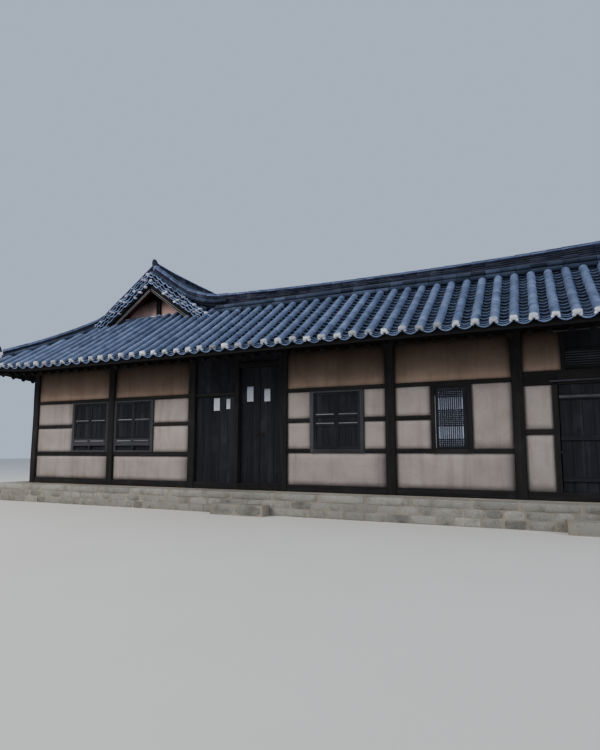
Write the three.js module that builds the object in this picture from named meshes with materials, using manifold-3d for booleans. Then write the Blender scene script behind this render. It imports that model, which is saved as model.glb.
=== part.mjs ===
// Hanok house: an L-shaped timber house with tiled hip-and-gable roofs.
// Millimetres, +X right along the facade, +Y towards the back, +Z up.
// The origin is on the ground, at the middle of the eaves' outline.
import * as THREE from "three";
import { mergeVertices } from "three/addons/utils/BufferGeometryUtils.js";
import Module from "manifold-3d";

const wasm = await Module();
wasm.setup();

// Plan of the eaves
const EAVE_X = 8500;
const EAVE_Y = 4840;
const OVERHANG = 940;
const OUTLINE_JOINT = 0.0003;
const RANGE_HALF = 2440;
const WING_HALF = 4100;
const RANGE_RIDGE_Y = -EAVE_Y + RANGE_HALF;
const RANGE_BACK_EAVE = RANGE_RIDGE_Y + RANGE_HALF;
const WING_RIDGE_X = -EAVE_X + WING_HALF;
const WING_EAST_EAVE = WING_RIDGE_X + WING_HALF;

// Gables: distance of their foot and of their verge from the eave below them
const WING_GABLE = RANGE_HALF;
const WING_VERGE = 1990;
const RANGE_GABLE = 1500;
const RANGE_VERGE = 1050;
const GABLE_WALL = 120;

// Wall planes
const WALL_X = EAVE_X - OVERHANG;
const FRONT_Y = -EAVE_Y + OVERHANG;
const WING_BACK_Y = -FRONT_Y;
const RANGE_BACK_Y = RANGE_BACK_EAVE - OVERHANG;
const WING_EAST_X = WING_EAST_EAVE - OVERHANG;

// Heights
const BASE_TOP = 450;
const BASE_REACH = 620;
const STEP_HEIGHT = 220;
const STEP_REACH = 300;
const FLOOR_TOP = 900;
const SILL_TOP = 600;
const LOW_RAIL = [1200, 1300];
const WINDOW_SILL = [1290, 1370];
const MID_RAIL = [1950, 2030];
const LINTEL = [2620, 2700];
const GATE_LINTEL = [3270, 3380];
const DOOR_LINTEL = [2530, 2790];
const PLATE_TOP = 3785;
const PLATE_BOTTOM = PLATE_TOP - 200;

// Timber sections, measured inwards from the wall's outer face
const POST = 200;
const BEAM_DEPTH = [15, 185];
const RAIL_DEPTH = [25, 175];
const FRAME_DEPTH = [20, 180];
const SHEET_DEPTH = [55, 145];
const BOARD_DEPTH = [70, 110];
const JAMB = 80;
const WINDOW_LEAF = 36;
const LEAF_FACE = 40;
const LEAF_BAR = 55;
const SEAT = 0.3;

// Roof
const EAVE_TOP = 3550;
const SLOPE = 0.6354;
const CURVE = 0.01336e-3;
const SLAB_DROP = 260;
const LOWER_PITCH = 0.668;
const UPPER_PITCH = 0.723;
const CORNER_LIFT = 160;
const LIFT_REACH = 2400;
const LIFT_KNOTS = [0, 500, 1000, 1600, LIFT_REACH];
const CURVE_KNOTS = [0, 1300, RANGE_HALF];
const UPPER_KNOT = 3300;
const ABOVE_ROOF = 9000;
const RAFTER = 110;
const RAFTER_SPACING = 320;
const RAFTER_SIDES = 6;
const RAFTER_END = 200;
const HIP_KNOTS = [0, 0.25, 0.5, 0.75, 1];
const EAVE_BOARD = [160, 300];
const EAVE_BOARD_RISE = 45;
const EAVE_BOARD_BED = 8;
const OVERHANG_RISE = 130;
const REBATE_REACH = 50;
const HEAD_GAP = 20;
const RIDGE_GAP = 60;
const HIP_LAP = 85;
const HIP_CLEAR = 150;
const HIP_START = 140;
const HIP_STOP = 160;
const HIP_DEEP = 150;
const HIP_DROP = 55;
const VALLEY_DROP = 5;
const HIP_RAFTER = 180;
const PURLIN = 160;
const PURLIN_HEIGHT = 180;
const BEAM = [PLATE_TOP - 300, PLATE_TOP];
const STRUT = 150;

// Convex columns of tiles over the slabs
const COLUMN_SPACING = 320;
const COLUMN_HALF = 76;
const COLUMN_CROWN = 40;
const COLUMN_HEIGHT = 80;
const COLUMN_BED = 30;
const COLUMN_MARGIN = 50;
const COLUMN_KNOT = 1500;
const SHORTEST_COLUMN = 350;
const FRONT_PHASE = 280;
const HIP_INSET = 190;
const VALLEY_INSET = 200;
const COLUMN_TOP = 150;
const VERGE_RIDGE_INSET = 330;
const UNDER_VERGE = 20;
const LOW_OVERHANG = 2800;
const LOW_END_OVERHANG = 1900;
const END_COLUMN_TOP = 1380;
const FLOW_CLEAR = [2200, 2560, 3000, 6600];

// Ties of the roof frames
const UPPER_BEAM = 200;
const GABLE_STRUT_INSET = 150;

// Ridges
const RIDGE_WIDTH = 260;
const VERGE_RIDGE_WIDTH = 220;
const VERGE_RIDGE_HEIGHT = 350;
const RANGE_RIDGE_LOW = 5540;
const RANGE_RIDGE_RISE = 110;
const WING_RIDGE_TOP = 6730;
const WING_RIDGE_RISE = 50;
const WING_RIDGE_SETBACK = 60;
const VERGE_TO_RIDGE = 200;
const RIDGE_BED = 250;
const LIMB_KNOTS = [0, 0.125, 0.25, 0.375, 0.5, 0.625, 0.75, 0.875, 1];
const HIP_RIDGE_HEIGHT = 240;
const HIP_RIDGE_END = 350;
const HIP_TIP_RISE = 60;

// Where the wing's right front ridge leaves its slope and joins the long ridge
const FLOW_START = 2700;
const FLOW_END = 2000;

// Doors
const LEAF = 30;
const BATTEN = 25;
const LEAF_CLEAR = 12;
const LEAVES_APART = 10;
const PIVOT_INSET = 10;
const PIVOT_RADIUS = 9;
const BATTEN_SHARES = [0.12, 0.5, 0.88];
const BATTEN_TALL = 90;
const DOOR_GAP = 6;
const PIVOT_SIDES = 12;

// Doorways, posts and windows along the front, from left to right
const GATE = [-800, 250];
const GATE_JAMB = 100;
const STORE = [5873, WALL_X - POST];
const STORE_JAMB = 97;
const STEP_MARGIN = 100;
const STEP_LAP = 50;
const WING_POST = -4650;
const PASSAGE_POST = -2100;
const RANGE_POSTS = [2785, 5200];
const WING_WINDOWS = [[-6040, -4750], [-4550, -3280]];
const WING_WINDOW = { z: [1300, LINTEL[0]], panel: 260 };
const LEAF_WINDOW = [1010, 2215];
const LATTICE_WINDOW = [3600, 4377];
const RANGE_WINDOW = { z: [WINDOW_SILL[0], LINTEL[0]] };
const STORE_RAIL = [1630, 1720];
const WING_LEAF_RAILS = [0.3];
const RANGE_LEAF_RAILS = [0.4, 0.56];
const LATTICE_RAILS = [0.33, 0.62];

// Cross frames and windows of the wing's other walls
const WING_FRAMES = [-1000, 1450];
const FAR_WINDOW = LEAF_WINDOW[1] - LEAF_WINDOW[0];
const BACK_WINDOW_INSET = 900;
const EAST_WINDOW_Y = 1900;
const WEST_WINDOW_Y = -236;

/** Material of one finish. */
function finish(color, roughness) {
  return new THREE.MeshStandardMaterial({ color, roughness, metalness: 0 });
}

const timber = finish(0x4a4038, 0.85);
const board = finish(0x55504b, 0.85);
const plaster = finish(0xb8a58e, 0.95);
const stone = finish(0x8f8a80, 0.95);
const tile = finish(0x5f6a75, 0.8);
const ridgeTile = finish(0x3d3f3f, 0.9);
const floorFinish = finish(0x8a7354, 0.8);
const paper = finish(0xcfd4da, 0.9);

/** Closed solid of a three.js geometry. */
function solid(geometry) {
  geometry.deleteAttribute("normal");
  geometry.deleteAttribute("uv");
  const merged = mergeVertices(geometry, 1e-3);
  return new wasm.Manifold(new wasm.Mesh({
    numProp: 3,
    vertProperties: new Float32Array(merged.attributes.position.array),
    triVerts: new Uint32Array(merged.index.array),
  }));
}

/** Box between two values on each axis. */
function block([x0, x1], [y0, y1], [z0, z1]) {
  const box = new THREE.BoxGeometry(x1 - x0, y1 - y0, z1 - z0);
  box.translate((x0 + x1) / 2, (y0 + y1) / 2, (z0 + z1) / 2);
  return solid(box);
}

/** All the given solids joined into one. */
function join(solids) {
  return solids.reduce((whole, piece) => whole.add(piece));
}

/** Upright prism over a plan outline. */
function prism(outline, bottom, top) {
  const shape = new THREE.Shape(outline.map(([x, y]) => new THREE.Vector2(x, y)));
  const geometry = new THREE.ExtrudeGeometry(shape, { depth: top - bottom, bevelEnabled: false });
  geometry.translate(0, 0, bottom);
  return solid(geometry);
}

/** Bar along x with a section outlined in y and z. */
function barAlongX([x0, x1], section) {
  const shape = new THREE.Shape(section.map(([y, z]) => new THREE.Vector2(y, z)));
  const geometry = new THREE.ExtrudeGeometry(shape, { depth: x1 - x0, bevelEnabled: false });
  const turn = new THREE.Matrix4().makeBasis(
    new THREE.Vector3(0, 1, 0), new THREE.Vector3(0, 0, 1), new THREE.Vector3(1, 0, 0),
  );
  geometry.applyMatrix4(turn);
  geometry.translate(x0, 0, 0);
  return solid(geometry);
}

/** Named mesh of a solid, hung in its parent group. */
function piece(parent, name, shape, material) {
  const { numProp, vertProperties, triVerts } = shape.getMesh();
  const geometry = new THREE.BufferGeometry();
  geometry.setAttribute("position", new THREE.BufferAttribute(vertProperties, numProp));
  geometry.setIndex(new THREE.BufferAttribute(triVerts, 1));
  geometry.computeVertexNormals();
  const mesh = new THREE.Mesh(geometry, material);
  mesh.name = name;
  parent.add(mesh);
  return mesh;
}

/** Group turned about +Z by whole quarter turns. */
function turned(parent, x, y, quarterTurns) {
  const group = new THREE.Group();
  group.position.set(x, y, 0);
  group.rotation.z = quarterTurns * Math.PI / 2;
  parent.add(group);
  return group;
}

/** Grid solid: bent between two height functions over the given plan knots. */
function sheet(uKnots, dKnots, low, high) {
  const uSteps = uKnots.length - 1;
  const dSteps = dKnots.length - 1;
  const geometry = new THREE.BoxGeometry(uSteps, dSteps, 1, uSteps, dSteps, 1);
  const position = geometry.attributes.position;
  for (let i = 0; i < position.count; i += 1) {
    const u = uKnots[Math.round(position.getX(i) + uSteps / 2)];
    const d = dKnots[Math.round(position.getY(i) + dSteps / 2)];
    position.setXYZ(i, u, d, position.getZ(i) > 0 ? high(u, d) : low(u, d));
  }
  return solid(geometry);
}

/** Height of the tile bed at a distance from its eave. */
function roofTop(d) {
  return EAVE_TOP + SLOPE * d + CURVE * d * d;
}

/** Height of the underside of the roof slab, which the rafters carry. */
function roofUnder(d) {
  const lower = Math.min(d, RANGE_HALF);
  return EAVE_TOP - SLAB_DROP + LOWER_PITCH * lower + UPPER_PITCH * (d - lower);
}

/** Rise of the eave towards a hip corner. */
function cornerLift(fromCorner) {
  const reach = Math.max(0, 1 - Math.max(0, fromCorner) / LIFT_REACH);
  return CORNER_LIFT * reach * reach;
}

/** Height of the underside of the rafters, which rest on plates and purlins. */
function rafterUnder(d) {
  const pitch = d > RANGE_HALF ? UPPER_PITCH : LOWER_PITCH;
  return roofUnder(d) - RAFTER * Math.hypot(1, pitch);
}

/** Outline drawn in by a share of its size, or out by a negative one. */
function drawnIn(outline, share) {
  const count = outline.length;
  const middleU = outline.reduce((sum, [u]) => sum + u, 0) / count;
  const middleD = outline.reduce((sum, [, d]) => sum + d, 0) / count;
  const draw = (value, middle) => middle + (value - middle) * (1 - share);
  return outline.map(([u, d]) => [draw(u, middleU), draw(d, middleD)]);
}

/**
 * One roof slope in its own frame: u runs along the eave, d runs up the slope.
 * Its outlines are in (u, d), and the eave lifts at the ends that are hip corners.
 */
class Slope {
  constructor(sizes) {
    Object.assign(this, sizes);
  }

  lift(u) {
    const start = this.liftStart ? cornerLift(u) : 0;
    const end = this.liftEnd ? cornerLift(this.eave - u) : 0;
    return start + end;
  }

  uKnots() {
    const start = this.liftStart ? LIFT_KNOTS : [this.from];
    const end = this.liftEnd ? LIFT_KNOTS.map((u) => this.eave - u).reverse() : [this.to];
    return [...start, ...end];
  }

  dKnots() {
    return this.depth > RANGE_HALF ? [...CURVE_KNOTS, UPPER_KNOT, this.depth] : CURVE_KNOTS;
  }

  /** Strip that follows the underside of the slab, between two heights over it. */
  strip(fromD, toD, low, high) {
    return sheet(
      this.uKnots(),
      [fromD, toD],
      (u, d) => roofUnder(d) + this.lift(u) + low,
      (u, d) => roofUnder(d) + this.lift(u) + high,
    );
  }

  /** Space over the rafters, from a drop under the slab to a rise over the tile bed. */
  mass(joint, drop, rise) {
    const whole = sheet(
      this.uKnots(),
      this.dKnots(),
      (u, d) => roofUnder(d) + this.lift(u) + SEAT - drop,
      (u, d) => roofTop(d) + this.lift(u) + rise,
    );
    return whole.intersect(prism(drawnIn(this.outline, joint), 0, ABOVE_ROOF));
  }

  /** Lowest and highest d of the column outline at one u. */
  reach(u) {
    const found = [];
    this.columnOutline.forEach(([u0, d0], i) => {
      const [u1, d1] = this.columnOutline[(i + 1) % this.columnOutline.length];
      if (u0 !== u1 && u >= Math.min(u0, u1) && u <= Math.max(u0, u1)) {
        found.push(d0 + (d1 - d0) * (u - u0) / (u1 - u0));
      }
    });
    return found.length > 1 ? [Math.min(...found), Math.max(...found)] : null;
  }

  /** Convex columns of tiles, from the eave or the valley up to the ridges. */
  columns() {
    const phase = this.phase ?? (this.eave % COLUMN_SPACING) / 2;
    const us = this.outline.map(([u]) => u);
    const first = Math.ceil((Math.min(...us) + COLUMN_MARGIN - phase) / COLUMN_SPACING);
    const last = Math.floor((Math.max(...us) - COLUMN_MARGIN - phase) / COLUMN_SPACING);
    const columns = [];
    for (let i = first; i <= last; i += 1) {
      const u = phase + i * COLUMN_SPACING;
      const sides = [this.reach(u - COLUMN_HALF), this.reach(u + COLUMN_HALF)];
      if (sides[0] === null || sides[1] === null) continue;
      const low = Math.max(sides[0][0], sides[1][0]);
      const high = Math.min(sides[0][1], sides[1][1]);
      if (high - low > SHORTEST_COLUMN) columns.push(this.column(u, low, high));
    }
    return columns;
  }

  /** One convex column with sloping flanks. */
  column(u, low, high) {
    const middle = low < COLUMN_KNOT - COLUMN_SPACING && high > RANGE_HALF ? [COLUMN_KNOT] : [];
    const bed = (d) => roofTop(d) + this.lift(u);
    return sheet(
      [u - COLUMN_HALF, u - COLUMN_CROWN, u + COLUMN_CROWN, u + COLUMN_HALF],
      [low, ...middle, high],
      (_, d) => bed(d) - COLUMN_BED,
      (at, d) => bed(d) + (Math.abs(at - u) > COLUMN_CROWN + SEAT ? 0 : COLUMN_HEIGHT),
    );
  }

  /** Roof slab with its tile columns, thin past the eave board and rebated over it. */
  slab() {
    const rebate = this.strip(-REBATE_REACH, EAVE_BOARD[1] + SEAT, -SLAB_DROP, EAVE_BOARD_RISE + SEAT);
    const overhang = this.strip(-REBATE_REACH, EAVE_BOARD[0] - SEAT, -SLAB_DROP, OVERHANG_RISE);
    const slab = join([this.mass(OUTLINE_JOINT, 0, 0), ...this.columns()]);
    return this.toHouse(slab.subtract(rebate).subtract(overhang));
  }

  /** One log between two distances from the eave. */
  rafter(u, from, to) {
    const middle = (from + to) / 2;
    const length = (to - from) * Math.hypot(1, LOWER_PITCH);
    const radius = RAFTER / 2 / Math.cos(Math.PI / RAFTER_SIDES);
    const log = new THREE.CylinderGeometry(radius, radius, length, RAFTER_SIDES, 1);
    log.rotateY(Math.PI / RAFTER_SIDES);
    log.rotateX(Math.atan(LOWER_PITCH));
    const lift = Math.min(this.lift(u - RAFTER / 2), this.lift(u + RAFTER / 2));
    const axis = roofUnder(middle) - RAFTER / 2 * Math.hypot(1, LOWER_PITCH);
    log.translate(u, middle, axis + lift);
    return solid(log);
  }

  /** Rafters from the eave to the ridge or the middle purlin, joined by the eave board. */
  rafters() {
    const logs = [];
    const count = Math.round(this.rafterSpan / RAFTER_SPACING);
    const head = Math.min(this.depth, RANGE_HALF) - HEAD_GAP;
    for (let i = 0; i < count; i += 1) {
      logs.push(this.rafter((i + 0.5) * this.rafterSpan / count, RAFTER_END, head));
    }
    const eaveBoard = this.strip(...EAVE_BOARD, -EAVE_BOARD_BED, EAVE_BOARD_RISE);
    const clip = prism(this.rafterOutline, 0, ABOVE_ROOF);
    return this.toHouse(join([...logs, eaveBoard]).intersect(clip));
  }

  toHouse(shape) {
    const [x, y, quarters] = this.place;
    return shape.rotate([0, 0, quarters * 90]).translate([x, y, 0]);
  }
}

/** Corner points of a hip: the outline moved in along the eave by a margin. */
function hipIn(outline, start, end) {
  const middle = outline.reduce((sum, [u]) => sum + u, 0) / outline.length;
  return outline.map(([u, d]) => [u < middle ? u + start : u - end, d]);
}

const frontOutline = [
  [0, 0], [2 * EAVE_X, 0], [2 * EAVE_X - RANGE_VERGE, RANGE_VERGE],
  [2 * EAVE_X - RANGE_VERGE, RANGE_HALF], [WING_GABLE, RANGE_HALF],
];
const gableInnerU = 2 * EAVE_X - RANGE_GABLE - GABLE_WALL - DOOR_GAP;
const columnTop = RANGE_HALF - COLUMN_TOP;
const wingColumnTop = WING_HALF - COLUMN_TOP;
const underVerge = WING_VERGE - UNDER_VERGE;
const underEndVerge = RANGE_VERGE - UNDER_VERGE;
const front = new Slope({
  from: 0,
  to: 2 * EAVE_X,
  eave: 2 * EAVE_X,
  rafterSpan: 2 * EAVE_X,
  depth: RANGE_HALF,
  liftStart: true,
  liftEnd: true,
  outline: frontOutline,
  rafterOutline: [
    [HIP_LAP, 0], [2 * EAVE_X - HIP_LAP, 0],
    [2 * EAVE_X - HIP_LAP - RANGE_GABLE, RANGE_GABLE], [gableInnerU, RANGE_GABLE],
    [gableInnerU, RANGE_HALF], [WING_GABLE + HIP_LAP, RANGE_HALF],
  ],
  phase: FRONT_PHASE,
  columnOutline: [
    [HIP_INSET, 0], [2 * EAVE_X - HIP_INSET, 0],
    [2 * EAVE_X - RANGE_VERGE - VERGE_RIDGE_INSET, RANGE_VERGE + VERGE_RIDGE_INSET - HIP_INSET],
    [2 * EAVE_X - RANGE_VERGE - VERGE_RIDGE_INSET, columnTop],
    [FLOW_CLEAR[3], columnTop], [FLOW_CLEAR[3], underVerge],
    [2 * WING_HALF - LOW_OVERHANG, underVerge], [2 * WING_HALF - LOW_OVERHANG, columnTop],
    [LOW_OVERHANG, columnTop], [LOW_OVERHANG, underVerge], [underVerge + HIP_INSET, underVerge],
  ],
  place: [-EAVE_X, -EAVE_Y, 0],
});

const rangeEndOutline = [
  [0, 0], [2 * RANGE_HALF, 0], [2 * RANGE_HALF - RANGE_GABLE, RANGE_GABLE], [RANGE_GABLE, RANGE_GABLE],
];
const rangeEnd = new Slope({
  from: 0,
  to: 2 * RANGE_HALF,
  eave: 2 * RANGE_HALF,
  rafterSpan: 2 * RANGE_HALF,
  depth: RANGE_GABLE,
  liftStart: true,
  liftEnd: true,
  outline: rangeEndOutline,
  rafterOutline: hipIn(rangeEndOutline, HIP_CLEAR, HIP_CLEAR),
  columnOutline: [
    [HIP_INSET, 0], [2 * RANGE_HALF - HIP_INSET, 0],
    [2 * RANGE_HALF - HIP_INSET - underEndVerge, underEndVerge],
    [2 * RANGE_HALF - LOW_END_OVERHANG, underEndVerge], [2 * RANGE_HALF - LOW_END_OVERHANG, END_COLUMN_TOP],
    [LOW_END_OVERHANG, END_COLUMN_TOP], [LOW_END_OVERHANG, underEndVerge],
    [underEndVerge + HIP_INSET, underEndVerge],
  ],
  place: [EAVE_X, -EAVE_Y, 1],
});

const backEave = EAVE_X - WING_EAST_EAVE;
const rangeBack = new Slope({
  from: 0,
  to: backEave + RANGE_HALF,
  eave: backEave,
  rafterSpan: backEave + RANGE_HALF,
  depth: RANGE_HALF,
  liftStart: true,
  liftEnd: false,
  outline: [
    [0, 0], [backEave, 0], [backEave + RANGE_HALF, RANGE_HALF],
    [RANGE_VERGE, RANGE_HALF], [RANGE_VERGE, RANGE_VERGE],
  ],
  rafterOutline: [
    [HIP_LAP, 0], [backEave - HIP_LAP, 0], [backEave + RANGE_HALF - HIP_LAP, RANGE_HALF],
    [2 * EAVE_X - gableInnerU, RANGE_HALF], [2 * EAVE_X - gableInnerU, RANGE_GABLE],
    [RANGE_GABLE + HIP_LAP, RANGE_GABLE],
  ],
  columnOutline: [
    [HIP_INSET, 0], [backEave - VALLEY_INSET, 0], [backEave - VALLEY_INSET + columnTop, columnTop],
    [RANGE_VERGE + VERGE_RIDGE_INSET, columnTop],
    [RANGE_VERGE + VERGE_RIDGE_INSET, RANGE_VERGE + VERGE_RIDGE_INSET - HIP_INSET],
  ],
  place: [EAVE_X, RANGE_BACK_EAVE, 2],
});

const wingVergeU = WING_VERGE - EAVE_Y - RANGE_BACK_EAVE;
const eastEave = EAVE_Y - RANGE_BACK_EAVE;
const wingEast = new Slope({
  from: wingVergeU,
  to: eastEave,
  eave: eastEave,
  rafterSpan: eastEave,
  depth: WING_HALF,
  liftStart: false,
  liftEnd: true,
  outline: [
    [0, 0], [eastEave, 0], [eastEave - WING_VERGE, WING_VERGE], [eastEave - WING_VERGE, WING_HALF],
    [wingVergeU, WING_HALF], [wingVergeU, WING_VERGE], [-RANGE_HALF, RANGE_HALF],
  ],
  rafterOutline: [
    [HIP_CLEAR, 0], [eastEave - HIP_CLEAR, 0], [eastEave - HIP_CLEAR - WING_GABLE, WING_GABLE],
    [HIP_CLEAR, WING_GABLE],
  ],
  columnOutline: [
    [VALLEY_INSET, 0], [eastEave - HIP_INSET, 0],
    [eastEave - WING_VERGE - VERGE_RIDGE_INSET, WING_VERGE + VERGE_RIDGE_INSET - HIP_INSET],
    [eastEave - WING_VERGE - VERGE_RIDGE_INSET, wingColumnTop],
    [-FLOW_CLEAR[1], wingColumnTop], [-FLOW_CLEAR[1], FLOW_CLEAR[2]],
    [-FLOW_CLEAR[0], FLOW_CLEAR[2]], [-FLOW_CLEAR[0], FLOW_CLEAR[0] + VALLEY_INSET],
  ],
  place: [WING_EAST_EAVE, RANGE_BACK_EAVE, 1],
});

const wingBackOutline = [
  [0, 0], [2 * WING_HALF, 0], [2 * WING_HALF - WING_GABLE, WING_GABLE], [WING_GABLE, WING_GABLE],
];
const wingBack = new Slope({
  from: 0,
  to: 2 * WING_HALF,
  eave: 2 * WING_HALF,
  rafterSpan: 2 * WING_HALF,
  depth: WING_GABLE,
  liftStart: true,
  liftEnd: true,
  outline: wingBackOutline,
  rafterOutline: hipIn(wingBackOutline, HIP_LAP, HIP_LAP),
  columnOutline: [
    [HIP_INSET, 0], [2 * WING_HALF - HIP_INSET, 0], [2 * WING_HALF - HIP_INSET - underVerge, underVerge],
    [2 * WING_HALF - LOW_OVERHANG, underVerge], [2 * WING_HALF - LOW_OVERHANG, columnTop],
    [LOW_OVERHANG, columnTop], [LOW_OVERHANG, underVerge], [underVerge + HIP_INSET, underVerge],
  ],
  place: [WING_EAST_EAVE, EAVE_Y, 2],
});

const westEave = 2 * EAVE_Y;
const wingWest = new Slope({
  from: 0,
  to: westEave,
  eave: westEave,
  rafterSpan: westEave,
  depth: WING_HALF,
  liftStart: true,
  liftEnd: true,
  outline: [
    [0, 0], [westEave, 0], [westEave - WING_VERGE, WING_VERGE], [westEave - WING_VERGE, WING_HALF],
    [WING_VERGE, WING_HALF], [WING_VERGE, WING_VERGE],
  ],
  rafterOutline: [
    [HIP_CLEAR, 0], [westEave - HIP_CLEAR, 0], [westEave - HIP_CLEAR - WING_GABLE, WING_GABLE],
    [WING_GABLE + HIP_CLEAR, WING_GABLE],
  ],
  columnOutline: [
    [HIP_INSET, 0], [westEave - HIP_INSET, 0],
    [westEave - WING_VERGE - VERGE_RIDGE_INSET, WING_VERGE + VERGE_RIDGE_INSET - HIP_INSET],
    [westEave - WING_VERGE - VERGE_RIDGE_INSET, wingColumnTop],
    [WING_VERGE + VERGE_RIDGE_INSET, wingColumnTop],
    [WING_VERGE + VERGE_RIDGE_INSET, WING_VERGE + VERGE_RIDGE_INSET - HIP_INSET],
  ],
  place: [-EAVE_X, EAVE_Y, 3],
});

/** Member over a plan line, bent between two height functions of the distance along it. */
function limb([x0, y0], [x1, y1], width, knots, low, high) {
  const length = Math.hypot(x1 - x0, y1 - y0);
  const along = knots.map((share) => share * length);
  const bar = sheet(along, [-width / 2, width / 2], low, high);
  const angle = Math.atan2(y1 - y0, x1 - x0) * 180 / Math.PI;
  return bar.rotate([0, 0, angle]).translate([x0, y0, 0]);
}

/** Hip or valley rafter from a corner of the eaves towards the ridge. */
function cornerRafter([x, y], [dirX, dirY], reach, drop, lifted) {
  const start = HIP_START;
  const end = reach - HIP_STOP;
  const height = (along) => {
    const d = start + along / Math.SQRT2;
    return roofUnder(d) + (lifted ? cornerLift(d) : 0) - drop;
  };
  return limb(
    [x + dirX * start, y + dirY * start],
    [x + dirX * end, y + dirY * end],
    HIP_RAFTER,
    HIP_KNOTS,
    (along) => height(along) - HIP_DEEP,
    height,
  );
}

const house = new THREE.Group();
house.name = "hanok_house";

/* Stone base and floors */

const passageLeft = PASSAGE_POST + POST / 2;

/** L-shaped outline of the walls, moved outwards on every side. */
function grownFootprint(reach) {
  const side = WALL_X + reach;
  const frontSide = FRONT_Y - reach;
  const east = WING_EAST_X + reach;
  return [
    [-side, frontSide], [side, frontSide], [side, RANGE_BACK_Y + reach],
    [east, RANGE_BACK_Y + reach], [east, WING_BACK_Y + reach], [-side, WING_BACK_Y + reach],
  ];
}

/** Stone step against the front of the base. */
function step(x0, x1) {
  const edge = FRONT_Y - BASE_REACH;
  return block([x0, x1], [edge - STEP_REACH, edge + STEP_LAP], [0, STEP_HEIGHT]);
}

const baseSlab = prism(grownFootprint(BASE_REACH), 0, BASE_TOP);
const base = join([baseSlab, step(GATE[0] - STEP_MARGIN, GATE[1] + STEP_MARGIN), step(...STORE)]);
piece(house, "stone_base", base, stone);

const inner = POST + SEAT;
const wingFloor = join([
  block([-WALL_X + inner, passageLeft - POST], [FRONT_Y + inner, WING_BACK_Y - inner], [BASE_TOP, FLOOR_TOP]),
  block([passageLeft - POST - 1, WING_EAST_X - inner], [RANGE_BACK_Y, WING_BACK_Y - inner], [BASE_TOP, FLOOR_TOP]),
]);
piece(house, "wing_floor", wingFloor, floorFinish);
const rangeFloorX = [GATE[1] + POST, RANGE_POSTS[1] - POST / 2];
const rangeFloor = block(rangeFloorX, [FRONT_Y + inner, RANGE_BACK_Y - inner], [BASE_TOP, FLOOR_TOP]);
piece(house, "range_floor", rangeFloor, floorFinish);

/* Walls: a daub sheet caught in a timber frame */

/** Boarded leaf: a panel in a frame of stiles and rails, x across, y deep, z up. */
function boardedLeaf(width, height, depth, railShares) {
  const panel = block([0, width], [depth / 3, depth * 2 / 3], [0, height]);
  const bar = LEAF_BAR;
  const railAt = (z) => block([0, width], [0, depth], [z, z + bar]);
  const stiles = [block([0, bar], [0, depth], [0, height]), block([width - bar, width], [0, depth], [0, height])];
  const rails = [0, height - bar, ...railShares.map((share) => share * height)].map(railAt);
  return join([panel, ...stiles, ...rails]);
}

/** Timber members round a window: jambs, sill and, on tall walls, a low panel under it. */
function windowFrame({ x, z, panel = 0 }) {
  const members = [
    block([x[0], x[0] + JAMB], FRAME_DEPTH, z),
    block([x[1] - JAMB, x[1]], FRAME_DEPTH, z),
    block(x, FRAME_DEPTH, [z[0] + panel, z[0] + panel + JAMB]),
    block(x, FRAME_DEPTH, [z[1] - JAMB / 2, z[1]]),
  ];
  if (panel > 0) {
    members.push(block(x, BOARD_DEPTH, [z[0], z[0] + panel + 1]));
    members.push(block(x, FRAME_DEPTH, [z[0], z[0] + JAMB / 2]));
  }
  return join(members);
}

/** Clear hole of a window inside its frame, drawn in by a joint. */
function windowHole({ x, z, panel = 0 }, joint) {
  return {
    x: x[0] + JAMB + joint,
    z: z[0] + panel + JAMB + joint,
    width: x[1] - x[0] - 2 * JAMB - 2 * joint,
    height: z[1] - z[0] - panel - JAMB * 3 / 2 - 2 * joint,
  };
}

/** Two closed leaves that fill a window. */
function closedLeaves(window, railShares) {
  const hole = windowHole(window, SEAT);
  const leafWidth = (hole.width - SEAT) / 2;
  const leaf = boardedLeaf(leafWidth, hole.height, WINDOW_LEAF, railShares);
  return [
    leaf.translate([hole.x, LEAF_FACE, hole.z]),
    leaf.translate([hole.x + hole.width - leafWidth, LEAF_FACE, hole.z]),
  ];
}

/** Fixed boards let into the frame of a window on the far sides. */
function fixedBoards({ x, z, panel = 0 }) {
  return block([x[0] + JAMB - 1, x[1] - JAMB + 1], BOARD_DEPTH, [z[0] + panel + JAMB - 1, z[1] - JAMB / 2 + 1]);
}

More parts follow.
